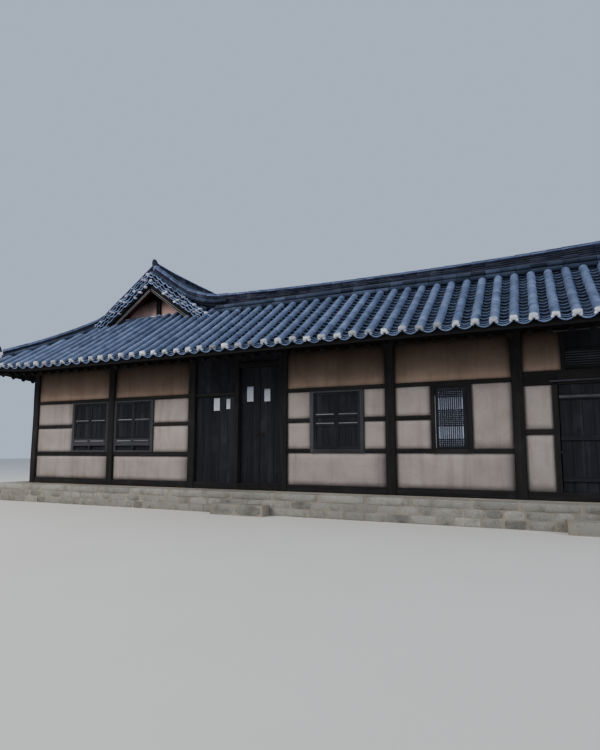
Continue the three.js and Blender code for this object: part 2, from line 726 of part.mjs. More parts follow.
/**
 * One stretch of wall in its own frame: x along the wall, y inwards from its
 * outer face. Gives the timber frame and the daub sheet that it holds.
 */
function wall({ span, posts, rails, windows, sheetSpan, extras = [] }) {
  const sheetZ = [SILL_TOP, PLATE_BOTTOM];
  const holes = windows.map(({ x, z }) => block(x, [-1, POST + 1], z));
  const cutSheet = (gap) => {
    const span3 = [sheetSpan[0] + SEAT - gap, sheetSpan[1] - SEAT + gap];
    const depth = [SHEET_DEPTH[0] - gap, SHEET_DEPTH[1] + gap];
    const whole = block(span3, depth, [sheetZ[0] + SEAT - gap, sheetZ[1] - SEAT + gap]);
    const opened = windows.map(({ x, z }) => block(
      [x[0] - SEAT + gap, x[1] + SEAT - gap],
      [-1, POST + 1],
      [z[0] - SEAT + gap, z[1] + SEAT - gap],
    ));
    return opened.reduce((sheetSolid, hole) => sheetSolid.subtract(hole), whole);
  };
  const members = [
    block(span, [0, POST], [PLATE_BOTTOM, PLATE_TOP]),
    block(span, FRAME_DEPTH, [BASE_TOP, SILL_TOP]),
    ...posts.map(({ x, wide = POST }) => block([x - wide / 2, x + wide / 2], [0, POST], [BASE_TOP, PLATE_BOTTOM])),
    ...rails.map(({ x, z }) => block(x, RAIL_DEPTH, z)),
  ];
  const grid = holes.reduce((frame, hole) => frame.subtract(hole), join(members).subtract(cutSheet(SEAT)));
  const postsAgain = posts
    .filter(({ whole }) => whole)
    .map(({ x, wide = POST }) => block([x - wide / 2, x + wide / 2], [0, POST], [BASE_TOP, PLATE_BOTTOM]));
  const frame = join([grid, ...windows.map(windowFrame), ...postsAgain, ...extras]);
  return { frame, infill: cutSheet(0) };
}

/** Adds the frame and the infill of one wall to its group. */
function addWall(group, name, sizes) {
  const { frame, infill } = wall(sizes);
  piece(group, `${name}_frame`, frame, timber);
  piece(group, `${name}_infill`, infill, plaster);
}

/** Rail heights shared by the plain bays. */
const plainRails = (x) => [{ x, z: LINTEL }, { x, z: MID_RAIL }, { x, z: LOW_RAIL }];

/** Front wall of the wing, up to the left jamb of the gate. */
const frontGroup = turned(house, -WALL_X, FRONT_Y, 0);
const at = (x) => x + WALL_X;
const span = (x0, x1) => [at(x0), at(x1)];
const gateJamb = GATE[0] - GATE_JAMB;
const wingWindows = WING_WINDOWS.map((x) => ({ x: span(...x), ...WING_WINDOW }));
const wingPosts = [
  { x: at(-WALL_X + POST / 2), whole: true },
  { x: at(WING_POST) },
  { x: at(PASSAGE_POST), whole: true },
];
const boardedBay = [
  block(span(passageLeft, gateJamb + 1), BOARD_DEPTH, [BASE_TOP, PLATE_BOTTOM + 1]),
  block(span(passageLeft, gateJamb + 1), RAIL_DEPTH, LINTEL),
  block(span(gateJamb, GATE[0]), FRAME_DEPTH, [BASE_TOP, PLATE_BOTTOM + 1]),
];
addWall(frontGroup, "wing_front", {
  span: span(-WALL_X, GATE[0]),
  sheetSpan: span(-WALL_X + POST, passageLeft - POST),
  posts: wingPosts,
  rails: [
    { x: span(-WALL_X, passageLeft - POST), z: LINTEL },
    { x: span(-WALL_X, passageLeft - POST), z: LOW_RAIL },
    { x: span(-WALL_X, WING_WINDOWS[0][0]), z: MID_RAIL },
    { x: span(WING_WINDOWS[1][1], passageLeft - POST), z: MID_RAIL },
  ],
  windows: wingWindows,
  extras: boardedBay,
});
wingWindows.forEach((window, i) => {
  closedLeaves(window, WING_LEAF_RAILS).forEach((leaf, side) => {
    piece(frontGroup, `wing_window_${i + 1}_leaf_${side + 1}`, leaf, board);
  });
});

/** Front wall of the range, from the gate to the store door. */
const leafWindow = { x: span(...LEAF_WINDOW), ...RANGE_WINDOW };
const latticeWindow = { x: span(...LATTICE_WINDOW), ...RANGE_WINDOW };
const [middlePost, storePost] = RANGE_POSTS;
addWall(frontGroup, "range_front", {
  span: span(GATE[1], STORE[0]),
  sheetSpan: span(GATE[1] + POST, STORE[0] - STORE_JAMB),
  posts: [
    { x: at(GATE[1] + POST / 2), whole: true }, { x: at(middlePost) }, { x: at(storePost) },
    { x: at(STORE[0] - STORE_JAMB / 2), wide: STORE_JAMB, whole: true },
  ],
  rails: [
    { x: span(GATE[1], storePost), z: LINTEL },
    { x: span(storePost, STORE[0]), z: DOOR_LINTEL },
    { x: span(GATE[1], LATTICE_WINDOW[0]), z: MID_RAIL },
    { x: span(storePost, STORE[0]), z: STORE_RAIL },
    { x: span(GATE[1], storePost), z: WINDOW_SILL },
  ],
  windows: [leafWindow, latticeWindow],
});
closedLeaves(leafWindow, RANGE_LEAF_RAILS).forEach((leaf, i) => {
  piece(frontGroup, `range_window_leaf_${i + 1}`, leaf, board);
});
const latticeHole = windowHole(latticeWindow, SEAT);
const latticeLeaf = boardedLeaf(latticeHole.width, latticeHole.height, WINDOW_LEAF, LATTICE_RAILS);
piece(frontGroup, "lattice_window", latticeLeaf.translate([latticeHole.x, LEAF_FACE, latticeHole.z]), paper);

/** Boarded head over a doorway: lintel, boards and its piece of the wall plate. */
function doorHead(group, name, x, lintel) {
  const [front, back] = BEAM_DEPTH;
  const [boardFront, boardBack] = BOARD_DEPTH;
  const section = [
    [front, lintel[0]], [back, lintel[0]], [back, lintel[1]], [boardBack, lintel[1]],
    [boardBack, PLATE_BOTTOM], [POST, PLATE_BOTTOM], [POST, PLATE_TOP], [0, PLATE_TOP],
    [0, PLATE_BOTTOM], [boardFront, PLATE_BOTTOM], [boardFront, lintel[1]], [front, lintel[1]],
  ];
  piece(group, name, barAlongX([x[0] + SEAT, x[1] - SEAT], section), timber);
}

const gateSpan = span(...GATE);
const storeSpan = span(...STORE);
doorHead(frontGroup, "gate_head", gateSpan, GATE_LINTEL);
doorHead(frontGroup, "store_head", storeSpan, DOOR_LINTEL);
for (const [name, x] of [["gate_threshold", gateSpan], ["store_threshold", storeSpan]]) {
  piece(frontGroup, name, block([x[0] + SEAT, x[1] - SEAT], FRAME_DEPTH, [BASE_TOP, SILL_TOP]), timber);
}

/** Wall at the right end of the range. */
const rangeDepth = RANGE_BACK_Y - FRONT_Y;
const endGroup = turned(house, WALL_X, FRONT_Y, 1);
const endLength = rangeDepth - inner;
addWall(endGroup, "range_end", {
  span: [0, endLength],
  sheetSpan: [POST, endLength],
  posts: [{ x: POST / 2, whole: true }, { x: rangeDepth / 2 }],
  rails: plainRails([POST / 2, endLength]),
  windows: [],
});

/** Back wall of the range, from its right corner to the passage. */
const backSpan = WALL_X - GATE[1];
const backGroup = turned(house, WALL_X, RANGE_BACK_Y, 2);
const fromCorner = (x) => WALL_X - x;
const backWindows = [LATTICE_WINDOW, LEAF_WINDOW].map((x) => (
  { x: [fromCorner(x[1]), fromCorner(x[0])], ...RANGE_WINDOW }
));
addWall(backGroup, "range_back", {
  span: [0, backSpan],
  sheetSpan: [POST, backSpan - POST],
  posts: [
    { x: POST / 2, whole: true }, { x: fromCorner(storePost) }, { x: fromCorner(middlePost) },
    { x: backSpan - POST / 2, whole: true },
  ],
  rails: plainRails([POST / 2, backSpan - POST / 2]),
  windows: backWindows,
  extras: backWindows.map(fixedBoards),
});
const passageSpan = [backSpan, WALL_X - WING_EAST_X];
doorHead(backGroup, "passage_head", passageSpan, LINTEL);

/** East wall of the wing, from the inner corner to its back corner. */
const eastStart = RANGE_BACK_Y - POST;
const eastLength = WING_BACK_Y - eastStart - inner;
const eastGroup = turned(house, WING_EAST_X, eastStart, 1);
const eastWindow = { x: [EAST_WINDOW_Y, EAST_WINDOW_Y + FAR_WINDOW].map((y) => y - eastStart), ...WING_WINDOW };
addWall(eastGroup, "wing_east", {
  span: [0, eastLength],
  sheetSpan: [POST, eastLength],
  posts: [{ x: POST / 2, whole: true }, { x: WING_FRAMES[1] - eastStart }],
  rails: plainRails([POST / 2, eastLength]),
  windows: [eastWindow],
  extras: [fixedBoards(eastWindow)],
});

/** Back wall of the wing. */
const wingWidth = WING_EAST_X + WALL_X;
const wingBackGroup = turned(house, WING_EAST_X, WING_BACK_Y, 2);
const wingBackWindows = [BACK_WINDOW_INSET, wingWidth - BACK_WINDOW_INSET - FAR_WINDOW].map((x) => (
  { x: [x, x + FAR_WINDOW], ...WING_WINDOW }
));
addWall(wingBackGroup, "wing_back", {
  span: [0, wingWidth - inner],
  sheetSpan: [POST, wingWidth - inner],
  posts: [{ x: POST / 2, whole: true }, { x: wingWidth / 2 }],
  rails: plainRails([POST / 2, wingWidth - inner]),
  windows: wingBackWindows,
  extras: wingBackWindows.map(fixedBoards),
});

/** West wall of the wing. */
const wingLength = WING_BACK_Y - FRONT_Y;
const westGroup = turned(house, -WALL_X, WING_BACK_Y, 3);
const westPosts = WING_FRAMES.map((y) => ({ x: WING_BACK_Y - y }));
const westWindow = { x: [WEST_WINDOW_Y + FAR_WINDOW, WEST_WINDOW_Y].map((y) => WING_BACK_Y - y), ...WING_WINDOW };
addWall(westGroup, "wing_west", {
  span: [0, wingLength - inner],
  sheetSpan: [POST, wingLength - inner],
  posts: [{ x: POST / 2, whole: true }, ...westPosts],
  rails: plainRails([POST / 2, wingLength - inner]),
  windows: [westWindow],
  extras: [fixedBoards(westWindow)],
});

/* Doors */

/**
 * Door leaf of boards on battens, hung on two pivots. Its frame has the hinge
 * axis at the origin, x across the doorway and +y on the side it opens to.
 */
function doorLeaf(width, bottom, top, side) {
  const near = -PIVOT_INSET;
  const far = width - PIVOT_INSET;
  const across = side > 0 ? [near, far] : [-far, -near];
  const pin = PIVOT_INSET - 1;
  const depth = [PIVOT_INSET - BATTEN - LEAF, PIVOT_INSET - BATTEN];
  const boards = block(across, [depth[0], depth[1] + 1], [bottom, top]);
  const height = top - bottom;
  const battens = BATTEN_SHARES.map((share) => {
    const z = bottom + share * height;
    return block(across, [depth[1], PIVOT_INSET], [z - BATTEN_TALL / 2, z + BATTEN_TALL / 2]);
  });
  const pivot = (z0, z1) => {
    const cylinder = new THREE.CylinderGeometry(PIVOT_RADIUS, PIVOT_RADIUS, z1 - z0, PIVOT_SIDES);
    cylinder.rotateX(Math.PI / 2);
    cylinder.translate(0, 0, (z0 + z1) / 2);
    return solid(cylinder);
  };
  const shoes = [
    block([-pin, pin], [depth[0], pin], [bottom, bottom + BATTEN_TALL]),
    block([-pin, pin], [depth[0], pin], [top - BATTEN_TALL, top]),
  ];
  return join([
    boards, ...battens, ...shoes,
    pivot(bottom - DOOR_GAP + SEAT, bottom + BATTEN_TALL),
    pivot(top - BATTEN_TALL, top + DOOR_GAP - SEAT),
  ]);
}

/** Pair of leaves that close one doorway, opening inwards or outwards. */
function doorPair(name, x, lintel, inwards) {
  const width = (x[1] - x[0] - 2 * LEAF_CLEAR - LEAVES_APART) / 2;
  const bottom = SILL_TOP + DOOR_GAP;
  const top = lintel[0] - DOOR_GAP;
  const face = inwards ? FRAME_DEPTH[1] : FRAME_DEPTH[0];
  const hingeY = inwards ? face - PIVOT_INSET : face + PIVOT_INSET;
  const hinges = [x[0] + LEAF_CLEAR + PIVOT_INSET, x[1] - LEAF_CLEAR - PIVOT_INSET];
  hinges.forEach((hingeX, i) => {
    const leaf = new THREE.Group();
    leaf.position.set(hingeX, hingeY, 0);
    leaf.rotation.z = inwards ? 0 : Math.PI;
    frontGroup.add(leaf);
    const leftward = i === 1;
    const side = leftward === inwards ? -1 : 1;
    piece(leaf, `${name}_leaf_${i + 1}`, doorLeaf(width, bottom, top, side), board);
  });
}

doorPair("gate", gateSpan, GATE_LINTEL, true);
doorPair("store", storeSpan, DOOR_LINTEL, false);

/* Roof frames inside */

const ringTop = rafterUnder(WING_GABLE - PURLIN / 2) - SEAT;
const ring = [ringTop - PURLIN_HEIGHT, ringTop];
const ringX = [WING_RIDGE_X - WING_HALF + WING_GABLE, WING_RIDGE_X + WING_HALF - WING_GABLE];
const ringY = EAVE_Y - WING_GABLE;
const around = (centre, width) => [centre - width / 2, centre + width / 2];
const wingRidgeTop = rafterUnder(WING_HALF - PURLIN / 2) - SEAT;
const wingRidgePurlin = [wingRidgeTop - PURLIN_HEIGHT, wingRidgeTop];
const tieX = [-WALL_X + inner, WING_EAST_X - inner];
const gableY = ringY - GABLE_WALL - SEAT;
const wingFrame = join([
  block([ringX[0] - PURLIN / 2, ringX[1] + PURLIN / 2], around(-ringY, PURLIN), ring),
  block([ringX[0] - PURLIN / 2, ringX[1] + PURLIN / 2], around(ringY, PURLIN), ring),
  ...ringX.map((x) => block(around(x, PURLIN), [-ringY, ringY], ring)),
  block(around(WING_RIDGE_X, PURLIN), [-gableY, gableY], wingRidgePurlin),
  ...WING_FRAMES.flatMap((y) => [
    block(tieX, around(y, PURLIN), BEAM),
    ...ringX.map((x) => block(around(x, STRUT), around(y, STRUT), [BEAM[1] - 1, ring[0] + 1])),
    block(ringX, around(y, STRUT), [ring[0] - UPPER_BEAM / 2, ring[0] + UPPER_BEAM / 2]),
    block(around(WING_RIDGE_X, STRUT), around(y, STRUT), [ring[0], wingRidgePurlin[0] + 1]),
  ]),
]);
piece(house, "wing_roof_frame", wingFrame, timber);

const rangeRidgeTop = rafterUnder(RANGE_HALF - PURLIN / 2) - SEAT;
const rangeRidgePurlin = [rangeRidgeTop - PURLIN_HEIGHT, rangeRidgeTop];
const gableBeamX = EAVE_X - RANGE_GABLE - PURLIN / 4;
const gableBeamTop = rafterUnder(RANGE_GABLE - PURLIN / 4) - SEAT;
const gableBeam = [gableBeamTop - PURLIN_HEIGHT, gableBeamTop];
const gableBeamHalf = RANGE_HALF - RANGE_GABLE;
const gableInnerX = EAVE_X - RANGE_GABLE - GABLE_WALL - SEAT;
const rangeFrames = [GATE[1] + POST / 2, ...RANGE_POSTS];
const tieY = [FRONT_Y + inner, RANGE_BACK_Y - inner];
const rangeFrame = join([
  block([ringX[1] + PURLIN / 2 + SEAT, gableInnerX - SEAT], around(RANGE_RIDGE_Y, PURLIN), rangeRidgePurlin),
  ...[...rangeFrames, gableBeamX].map((x) => block(around(x, PURLIN), tieY, BEAM)),
  ...rangeFrames.map((x) => block(
    around(x, STRUT), around(RANGE_RIDGE_Y, STRUT), [BEAM[1] - 1, rangeRidgePurlin[0] + 1],
  )),
  block(around(gableBeamX, PURLIN), around(RANGE_RIDGE_Y, 2 * gableBeamHalf), gableBeam),
  ...[-1, 1].map((side) => block(
    around(gableBeamX, PURLIN), around(RANGE_RIDGE_Y + side * (gableBeamHalf - GABLE_STRUT_INSET), STRUT),
    [BEAM[1] - 1, gableBeam[0] + 1],
  )),
  block([gableBeamX - PURLIN - STRUT, gableBeamX], around(RANGE_RIDGE_Y, STRUT), BEAM),
  block(
    around(gableBeamX - PURLIN - STRUT / 2, STRUT), around(RANGE_RIDGE_Y, STRUT),
    [BEAM[1] - 1, rangeRidgePurlin[0] + 1],
  ),
]);
piece(house, "range_roof_frame", rangeFrame, timber);

/* Roof slabs */

const slopes = { front, rangeEnd, rangeBack, wingEast, wingBack, wingWest };
const slabs = Object.fromEntries(Object.entries(slopes).map(([key, slope]) => [key, slope.slab()]));
const masses = Object.fromEntries(Object.entries(slopes).map(
  ([key, slope]) => [key, slope.toHouse(slope.mass(-OUTLINE_JOINT, SLAB_DROP, SEAT))],
));
const cut = (shape, ...tools) => tools.reduce((left, tool) => left.subtract(tool), shape);
slabs.front = cut(slabs.front, masses.rangeEnd);
slabs.rangeBack = cut(slabs.rangeBack, masses.rangeEnd);
slabs.wingEast = cut(slabs.wingEast, masses.front, masses.wingBack);
slabs.wingWest = cut(slabs.wingWest, masses.front, masses.wingBack);
const slabNames = {
  front: "front_roof",
  rangeEnd: "range_end_roof",
  rangeBack: "range_back_roof",
  wingEast: "wing_east_roof",
  wingBack: "wing_back_roof",
  wingWest: "wing_west_roof",
};
for (const [key, name] of Object.entries(slabNames)) {
  piece(house, name, slabs[key], tile);
}
const raised = Object.values(slabs).map((slab) => slab.translate([0, 0, SEAT]));
const roofMass = join([...Object.values(masses), ...Object.values(slabs), ...raised]);

/* Rafters */

const hips = {
  front: [
    cornerRafter([-EAVE_X, -EAVE_Y], [1, 1], WING_GABLE, HIP_DROP, true),
    cornerRafter([EAVE_X, -EAVE_Y], [-1, 1], RANGE_GABLE, HIP_DROP, true),
  ],
  rangeBack: [
    cornerRafter([EAVE_X, RANGE_BACK_EAVE], [-1, -1], RANGE_GABLE, HIP_DROP, true),
    cornerRafter([WING_EAST_EAVE, RANGE_BACK_EAVE], [-1, -1], WING_GABLE, VALLEY_DROP, false),
  ],
  wingBack: [
    cornerRafter([WING_EAST_EAVE, EAVE_Y], [-1, -1], WING_GABLE, HIP_DROP, true),
    cornerRafter([-EAVE_X, EAVE_Y], [1, -1], WING_GABLE, HIP_DROP, true),
  ],
};
const walls = prism(grownFootprint(SEAT), 0, PLATE_TOP + SEAT);
for (const [key, slope] of Object.entries(slopes)) {
  const frame = join([slope.rafters(), ...(hips[key] ?? [])]).subtract(walls);
  piece(house, slabNames[key].replace("roof", "rafters"), frame, timber);
}

/* Gable walls */

/** Gable wall in its own frame: x across, up to the slabs over it. */
function gableWall(half, foot, slopeHalf) {
  const eaveSide = slopeHalf - half;
  const knee = RANGE_HALF > eaveSide && RANGE_HALF < slopeHalf ? [[slopeHalf - RANGE_HALF, roofUnder(RANGE_HALF)]] : [];
  const right = [[half, foot], [half, roofUnder(eaveSide)], ...knee];
  const left = right.map(([x, z]) => [-x, z]).reverse();
  const outline = [...right, [0, roofUnder(slopeHalf)], ...left];
  return prism(outline, 0, GABLE_WALL).rotate([90, 0, 0]);
}

const wingGableHalf = WING_HALF - WING_GABLE - RIDGE_GAP;
const wingGable = gableWall(wingGableHalf, ringTop + SEAT, WING_HALF);
piece(house, "wing_front_gable", wingGable.translate([WING_RIDGE_X, -ringY + GABLE_WALL + SEAT, 0]), plaster);
piece(house, "wing_back_gable", wingGable.translate([WING_RIDGE_X, ringY - SEAT, 0]), plaster);
const rangeGable = gableWall(gableBeamHalf - RIDGE_GAP, gableBeamTop + SEAT, RANGE_HALF).rotate([0, 0, 90]);
piece(house, "range_end_gable", rangeGable.translate([gableInnerX + SEAT, RANGE_RIDGE_Y, 0]), plaster);

/* Ridges */

/** Ridge stack over a plan line whose heights come from the roof under it. */
function ridgeLimb(start, end, width, base, top) {
  return limb(start, end, width, LIMB_KNOTS, (along) => base(along) - RIDGE_BED, top);
}

/** Descending ridge along a verge, and the hip ridge that goes on to the corner. */
function cornerRidge([ridgeX, ridgeY], bendAt, [cornerX, cornerY], half) {
  const [dirX, dirY] = [Math.sign(ridgeX - cornerX), Math.sign(ridgeY - cornerY)];
  const bend = [cornerX + dirX * bendAt, cornerY + dirY * bendAt];
  const tip = [cornerX + dirX * HIP_RIDGE_END, cornerY + dirY * HIP_RIDGE_END];
  const fall = (along) => roofTop(half - along);
  const hip = (along) => {
    const d = bendAt - along / Math.SQRT2;
    return roofTop(d) + cornerLift(d);
  };
  const hipLength = (bendAt - HIP_RIDGE_END) * Math.SQRT2;
  const tipRise = (along) => HIP_TIP_RISE * (along / hipLength) ** 2;
  const bendRise = (along) => (VERGE_RIDGE_HEIGHT - HIP_RIDGE_HEIGHT) * (1 - along / hipLength) ** 2;
  return join([
    ridgeLimb([ridgeX, ridgeY], bend, VERGE_RIDGE_WIDTH, fall, (along) => fall(along) + VERGE_RIDGE_HEIGHT),
    ridgeLimb(
      bend, tip, VERGE_RIDGE_WIDTH, hip,
      (along) => hip(along) + HIP_RIDGE_HEIGHT + tipRise(along) + bendRise(along),
    ),
  ]);
}

const wingVergeY = EAVE_Y - WING_VERGE - VERGE_TO_RIDGE;
const wingBend = WING_VERGE + VERGE_TO_RIDGE;
const wingRidgeEnd = wingVergeY - WING_RIDGE_SETBACK;
const wingSag = (along) => {
  const share = along / wingRidgeEnd - 1;
  return WING_RIDGE_TOP + WING_RIDGE_RISE * share ** 4;
};
const wingRidge = ridgeLimb(
  [WING_RIDGE_X, -wingRidgeEnd], [WING_RIDGE_X, wingRidgeEnd], RIDGE_WIDTH, () => roofTop(WING_HALF), wingSag,
);

/* The wing's right front ridge flows down into the long ridge. */
const flowTop = RANGE_RIDGE_LOW + RANGE_RIDGE_RISE;
const flowBend = [WING_EAST_EAVE - FLOW_START, -wingVergeY];
const flowEnd = [WING_EAST_EAVE - FLOW_END + RIDGE_WIDTH, RANGE_RIDGE_Y];
const flowClip = block(
  [WING_EAST_EAVE - FLOW_END, WING_EAST_EAVE], [FRONT_Y, RANGE_BACK_Y], [BASE_TOP, ABOVE_ROOF],
);
const flow = join([
  ridgeLimb(
    [WING_RIDGE_X, -wingVergeY], flowBend, VERGE_RIDGE_WIDTH,
    (along) => roofTop(WING_HALF - along), (along) => roofTop(WING_HALF - along) + VERGE_RIDGE_HEIGHT,
  ),
  ridgeLimb(flowBend, flowEnd, RIDGE_WIDTH, () => roofTop(FLOW_END), () => flowTop),
]).subtract(flowClip);
const wingRidges = join([
  wingRidge,
  flow,
  cornerRidge([WING_RIDGE_X, -wingVergeY], wingBend, [-EAVE_X, -EAVE_Y], WING_HALF),
  cornerRidge([WING_RIDGE_X, wingVergeY], wingBend, [-EAVE_X, EAVE_Y], WING_HALF),
  cornerRidge([WING_RIDGE_X, wingVergeY], wingBend, [WING_EAST_EAVE, EAVE_Y], WING_HALF),
]);

const rangeVergeX = EAVE_X - RANGE_VERGE - VERGE_TO_RIDGE;
const rangeBend = RANGE_VERGE + VERGE_TO_RIDGE;
const rangeRidgeStart = WING_EAST_EAVE - FLOW_END + 1;
const rangeRidgeLength = rangeVergeX + VERGE_RIDGE_WIDTH / 2 - rangeRidgeStart;
const rangeSag = (along) => RANGE_RIDGE_LOW + RANGE_RIDGE_RISE * (2 * along / rangeRidgeLength - 1) ** 2;
const rangeRidge = ridgeLimb(
  [rangeRidgeStart, RANGE_RIDGE_Y], [rangeRidgeStart + rangeRidgeLength, RANGE_RIDGE_Y],
  RIDGE_WIDTH, () => roofTop(RANGE_HALF), rangeSag,
);
const rangeRidges = join([
  rangeRidge,
  cornerRidge([rangeVergeX, RANGE_RIDGE_Y], rangeBend, [EAVE_X, -EAVE_Y], RANGE_HALF),
  cornerRidge([rangeVergeX, RANGE_RIDGE_Y], rangeBend, [EAVE_X, RANGE_BACK_EAVE], RANGE_HALF),
]);
/** The body of a ridge that is left above the slabs. */
function aboveRoof(ridges) {
  const bodies = ridges.subtract(roofMass).decompose();
  return bodies.reduce((most, body) => (body.volume() > most.volume() ? body : most));
}

piece(house, "wing_ridges", aboveRoof(wingRidges), ridgeTile);
piece(house, "range_ridges", aboveRoof(rangeRidges), ridgeTile);

export default house;
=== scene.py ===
"""Looks of a hanok house: tiles, timbers, daub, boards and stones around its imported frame."""

import logging
import math
from dataclasses import dataclass
from enum import Enum
from typing import Iterable, Sequence

import bpy
import numpy as np
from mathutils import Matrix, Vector


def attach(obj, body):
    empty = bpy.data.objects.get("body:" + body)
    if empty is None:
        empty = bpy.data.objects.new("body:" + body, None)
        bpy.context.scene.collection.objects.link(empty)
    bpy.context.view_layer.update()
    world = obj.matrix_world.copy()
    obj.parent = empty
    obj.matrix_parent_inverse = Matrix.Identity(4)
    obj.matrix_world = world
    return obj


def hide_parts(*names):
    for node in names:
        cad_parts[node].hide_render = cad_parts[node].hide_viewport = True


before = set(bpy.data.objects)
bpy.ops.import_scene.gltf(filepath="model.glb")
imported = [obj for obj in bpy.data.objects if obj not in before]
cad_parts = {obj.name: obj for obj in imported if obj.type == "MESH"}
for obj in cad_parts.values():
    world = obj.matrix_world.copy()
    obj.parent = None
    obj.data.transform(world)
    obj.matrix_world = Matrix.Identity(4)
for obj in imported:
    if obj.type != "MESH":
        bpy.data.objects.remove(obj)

Span = tuple[float, float]
Point = tuple[float, float, float]
Color = tuple[float, float, float]
Socket = bpy.types.NodeSocket

HOUSE = "house"
SEED = 11

# Eaves and walls, in metres
EAVE_X = 8.5
EAVE_Y = 4.84
RANGE_HALF = 2.44
WING_HALF = 4.1
RANGE_RIDGE_Y = -EAVE_Y + RANGE_HALF
RANGE_BACK_EAVE = 0.04
WING_RIDGE_X = -4.4
WING_EAST_EAVE = -0.3
WING_VERGE = 1.99
RANGE_VERGE = 1.05
RANGE_GABLE = 1.5
GABLE_WALL = 0.12
GABLE_CLEAR = 0.006
HIP_LAP = 0.085
HIP_CLEAR = 0.15
FRONT_PHASE = 0.28
RIDGE_FROM = EAVE_X - 2.3
WALL_X = 7.56
FRONT_Y = -3.9
WING_BACK_Y = 3.9
RANGE_BACK_Y = -0.9
WING_EAST_X = -1.24

# Heights
BASE_TOP = 0.45
SILL_TOP = 0.6
PLATE_BOTTOM = 3.585
PLATE_TOP = 3.785
PLATE = (PLATE_BOTTOM, PLATE_TOP)
SILL = (BASE_TOP, SILL_TOP)
EAVE_TOP = 3.55
SLOPE = 0.6354
CURVE = 0.01336
SLAB_DROP = 0.26
LOWER_PITCH = 0.668
UPPER_PITCH = 0.723
CORNER_LIFT = 0.16
LIFT_REACH = 2.4

# Wall timbers, measured inwards from the wall's outer face
POST_DEPTH = (0.0, 0.2)
RAIL_DEPTH = (0.025, 0.175)
FRAME_DEPTH = (0.02, 0.18)
BOARD_DEPTH = (0.07, 0.11)
POST = 0.2
JAMB = 0.08
LINTEL = (2.62, 2.7)
GATE_LINTEL = (3.27, 3.38)
DOOR_LINTEL = (2.53, 2.79)
MID_RAIL = (1.95, 2.03)
LOW_RAIL = (1.2, 1.3)
STORE_RAIL = (1.63, 1.72)
WINDOW_SILL = (1.29, 1.37)
WING_WINDOW_FOOT = 1.3
WING_LATH = 1.575

# Doorways, windows and posts along the front, in the house's x
GATE = (-0.8, 0.25)
GATE_JAMB = 0.1
STORE = (5.873, 7.36)
STORE_JAMB = 0.097
STORE_UPRIGHT = 5.95
WING_POST = -4.65
PASSAGE_POST = -2.1
MIDDLE_POST = 2.785
STORE_POST = 5.2
WING_WINDOWS = ((-6.04, -4.75), (-4.55, -3.28))
LEAF_WINDOW = (1.01, 2.215)
LATTICE = (3.6, 4.377)

# Posts and windows of the other walls, in the wall's own x or the house's y
END_POST = 1.5
EAST_POST_Y = 1.45
WEST_POSTS = (2.45, 4.9)
EAST_WINDOW_Y = 1.9
BACK_WINDOW_INSET = 0.9
WEST_WINDOW_END = 4.136
FAR_WINDOW = 1.205
FAR_PANEL = 0.26
PANEL_RAIL = 0.1
MUNTIN = 0.07
PANEL_BOARD = 0.2
SHUTTER_BOARD = 0.18


def about(middle: float, width: float) -> Span:
    """Span of a width about its middle."""
    return middle - width / 2, middle + width / 2


def inset(span: Span, by: float) -> Span:
    """Span drawn in at both ends."""
    return span[0] + by, span[1] - by


def moved(span: Span, by: float) -> Span:
    """Span moved along."""
    return by + span[0], by + span[1]


def joined(*parts: object) -> np.ndarray:
    """Numbers and arrays of fitting shapes, side by side along a new last axis."""
    return np.stack(np.broadcast_arrays(*parts), -1)


def heading(start: Sequence[float], end: Sequence[float]) -> tuple[np.ndarray, np.ndarray, float]:
    """Start of a line as an array, its direction and its length."""
    first = np.array(start, float)
    way = np.array(end, float) - first
    length = float(np.linalg.norm(way))
    return first, way / length, length


def raised(points: np.ndarray, height: np.ndarray) -> np.ndarray:
    """Points over the plan of others, at given heights."""
    return joined(points[:, 0], points[:, 1], height)


def tint(code: str) -> Color:
    """Linear colour of a six-digit screen colour."""
    channels = [int(code[i:i + 2], 16) / 255 for i in (0, 2, 4)]
    return tuple(c / 12.92 if c < 0.04045 else ((c + 0.055) / 1.055) ** 2.4 for c in channels)


# Colour of the painted shade that darkens the gables' daub towards its top.
PAINTED_SHADE_COLOR = "171210"
# Dark tone of tile undersides: painted shade.
UNDER_SHADE_TONE = 0.2

# Shortest lengths that count, in metres
NOTCH = 0.01
TINY = 1e-6


@dataclass(frozen=True)
class Turn:
    """Place of a frame that stands turned by quarter turns about the upright."""

    x: float = 0.0
    y: float = 0.0
    quarters: int = 0

    def to_house(self, points: np.ndarray) -> np.ndarray:
        """Points of the turned frame, in the house's frame."""
        cos, sin = ((1, 0), (0, 1), (-1, 0), (0, -1))[self.quarters % 4]
        out = np.array(points, float)
        out[..., 0] = self.x + cos * points[..., 0] - sin * points[..., 1]
        out[..., 1] = self.y + sin * points[..., 0] + cos * points[..., 1]
        return out


class Pattern(Enum):
    """Ways in which a finish mixes its colours over a surface."""

    GRAIN = "grain"
    TILE = "tile"
    PLASTER = "plaster"
    STONE = "stone"
    PAPER = "paper"
    METAL = "metal"


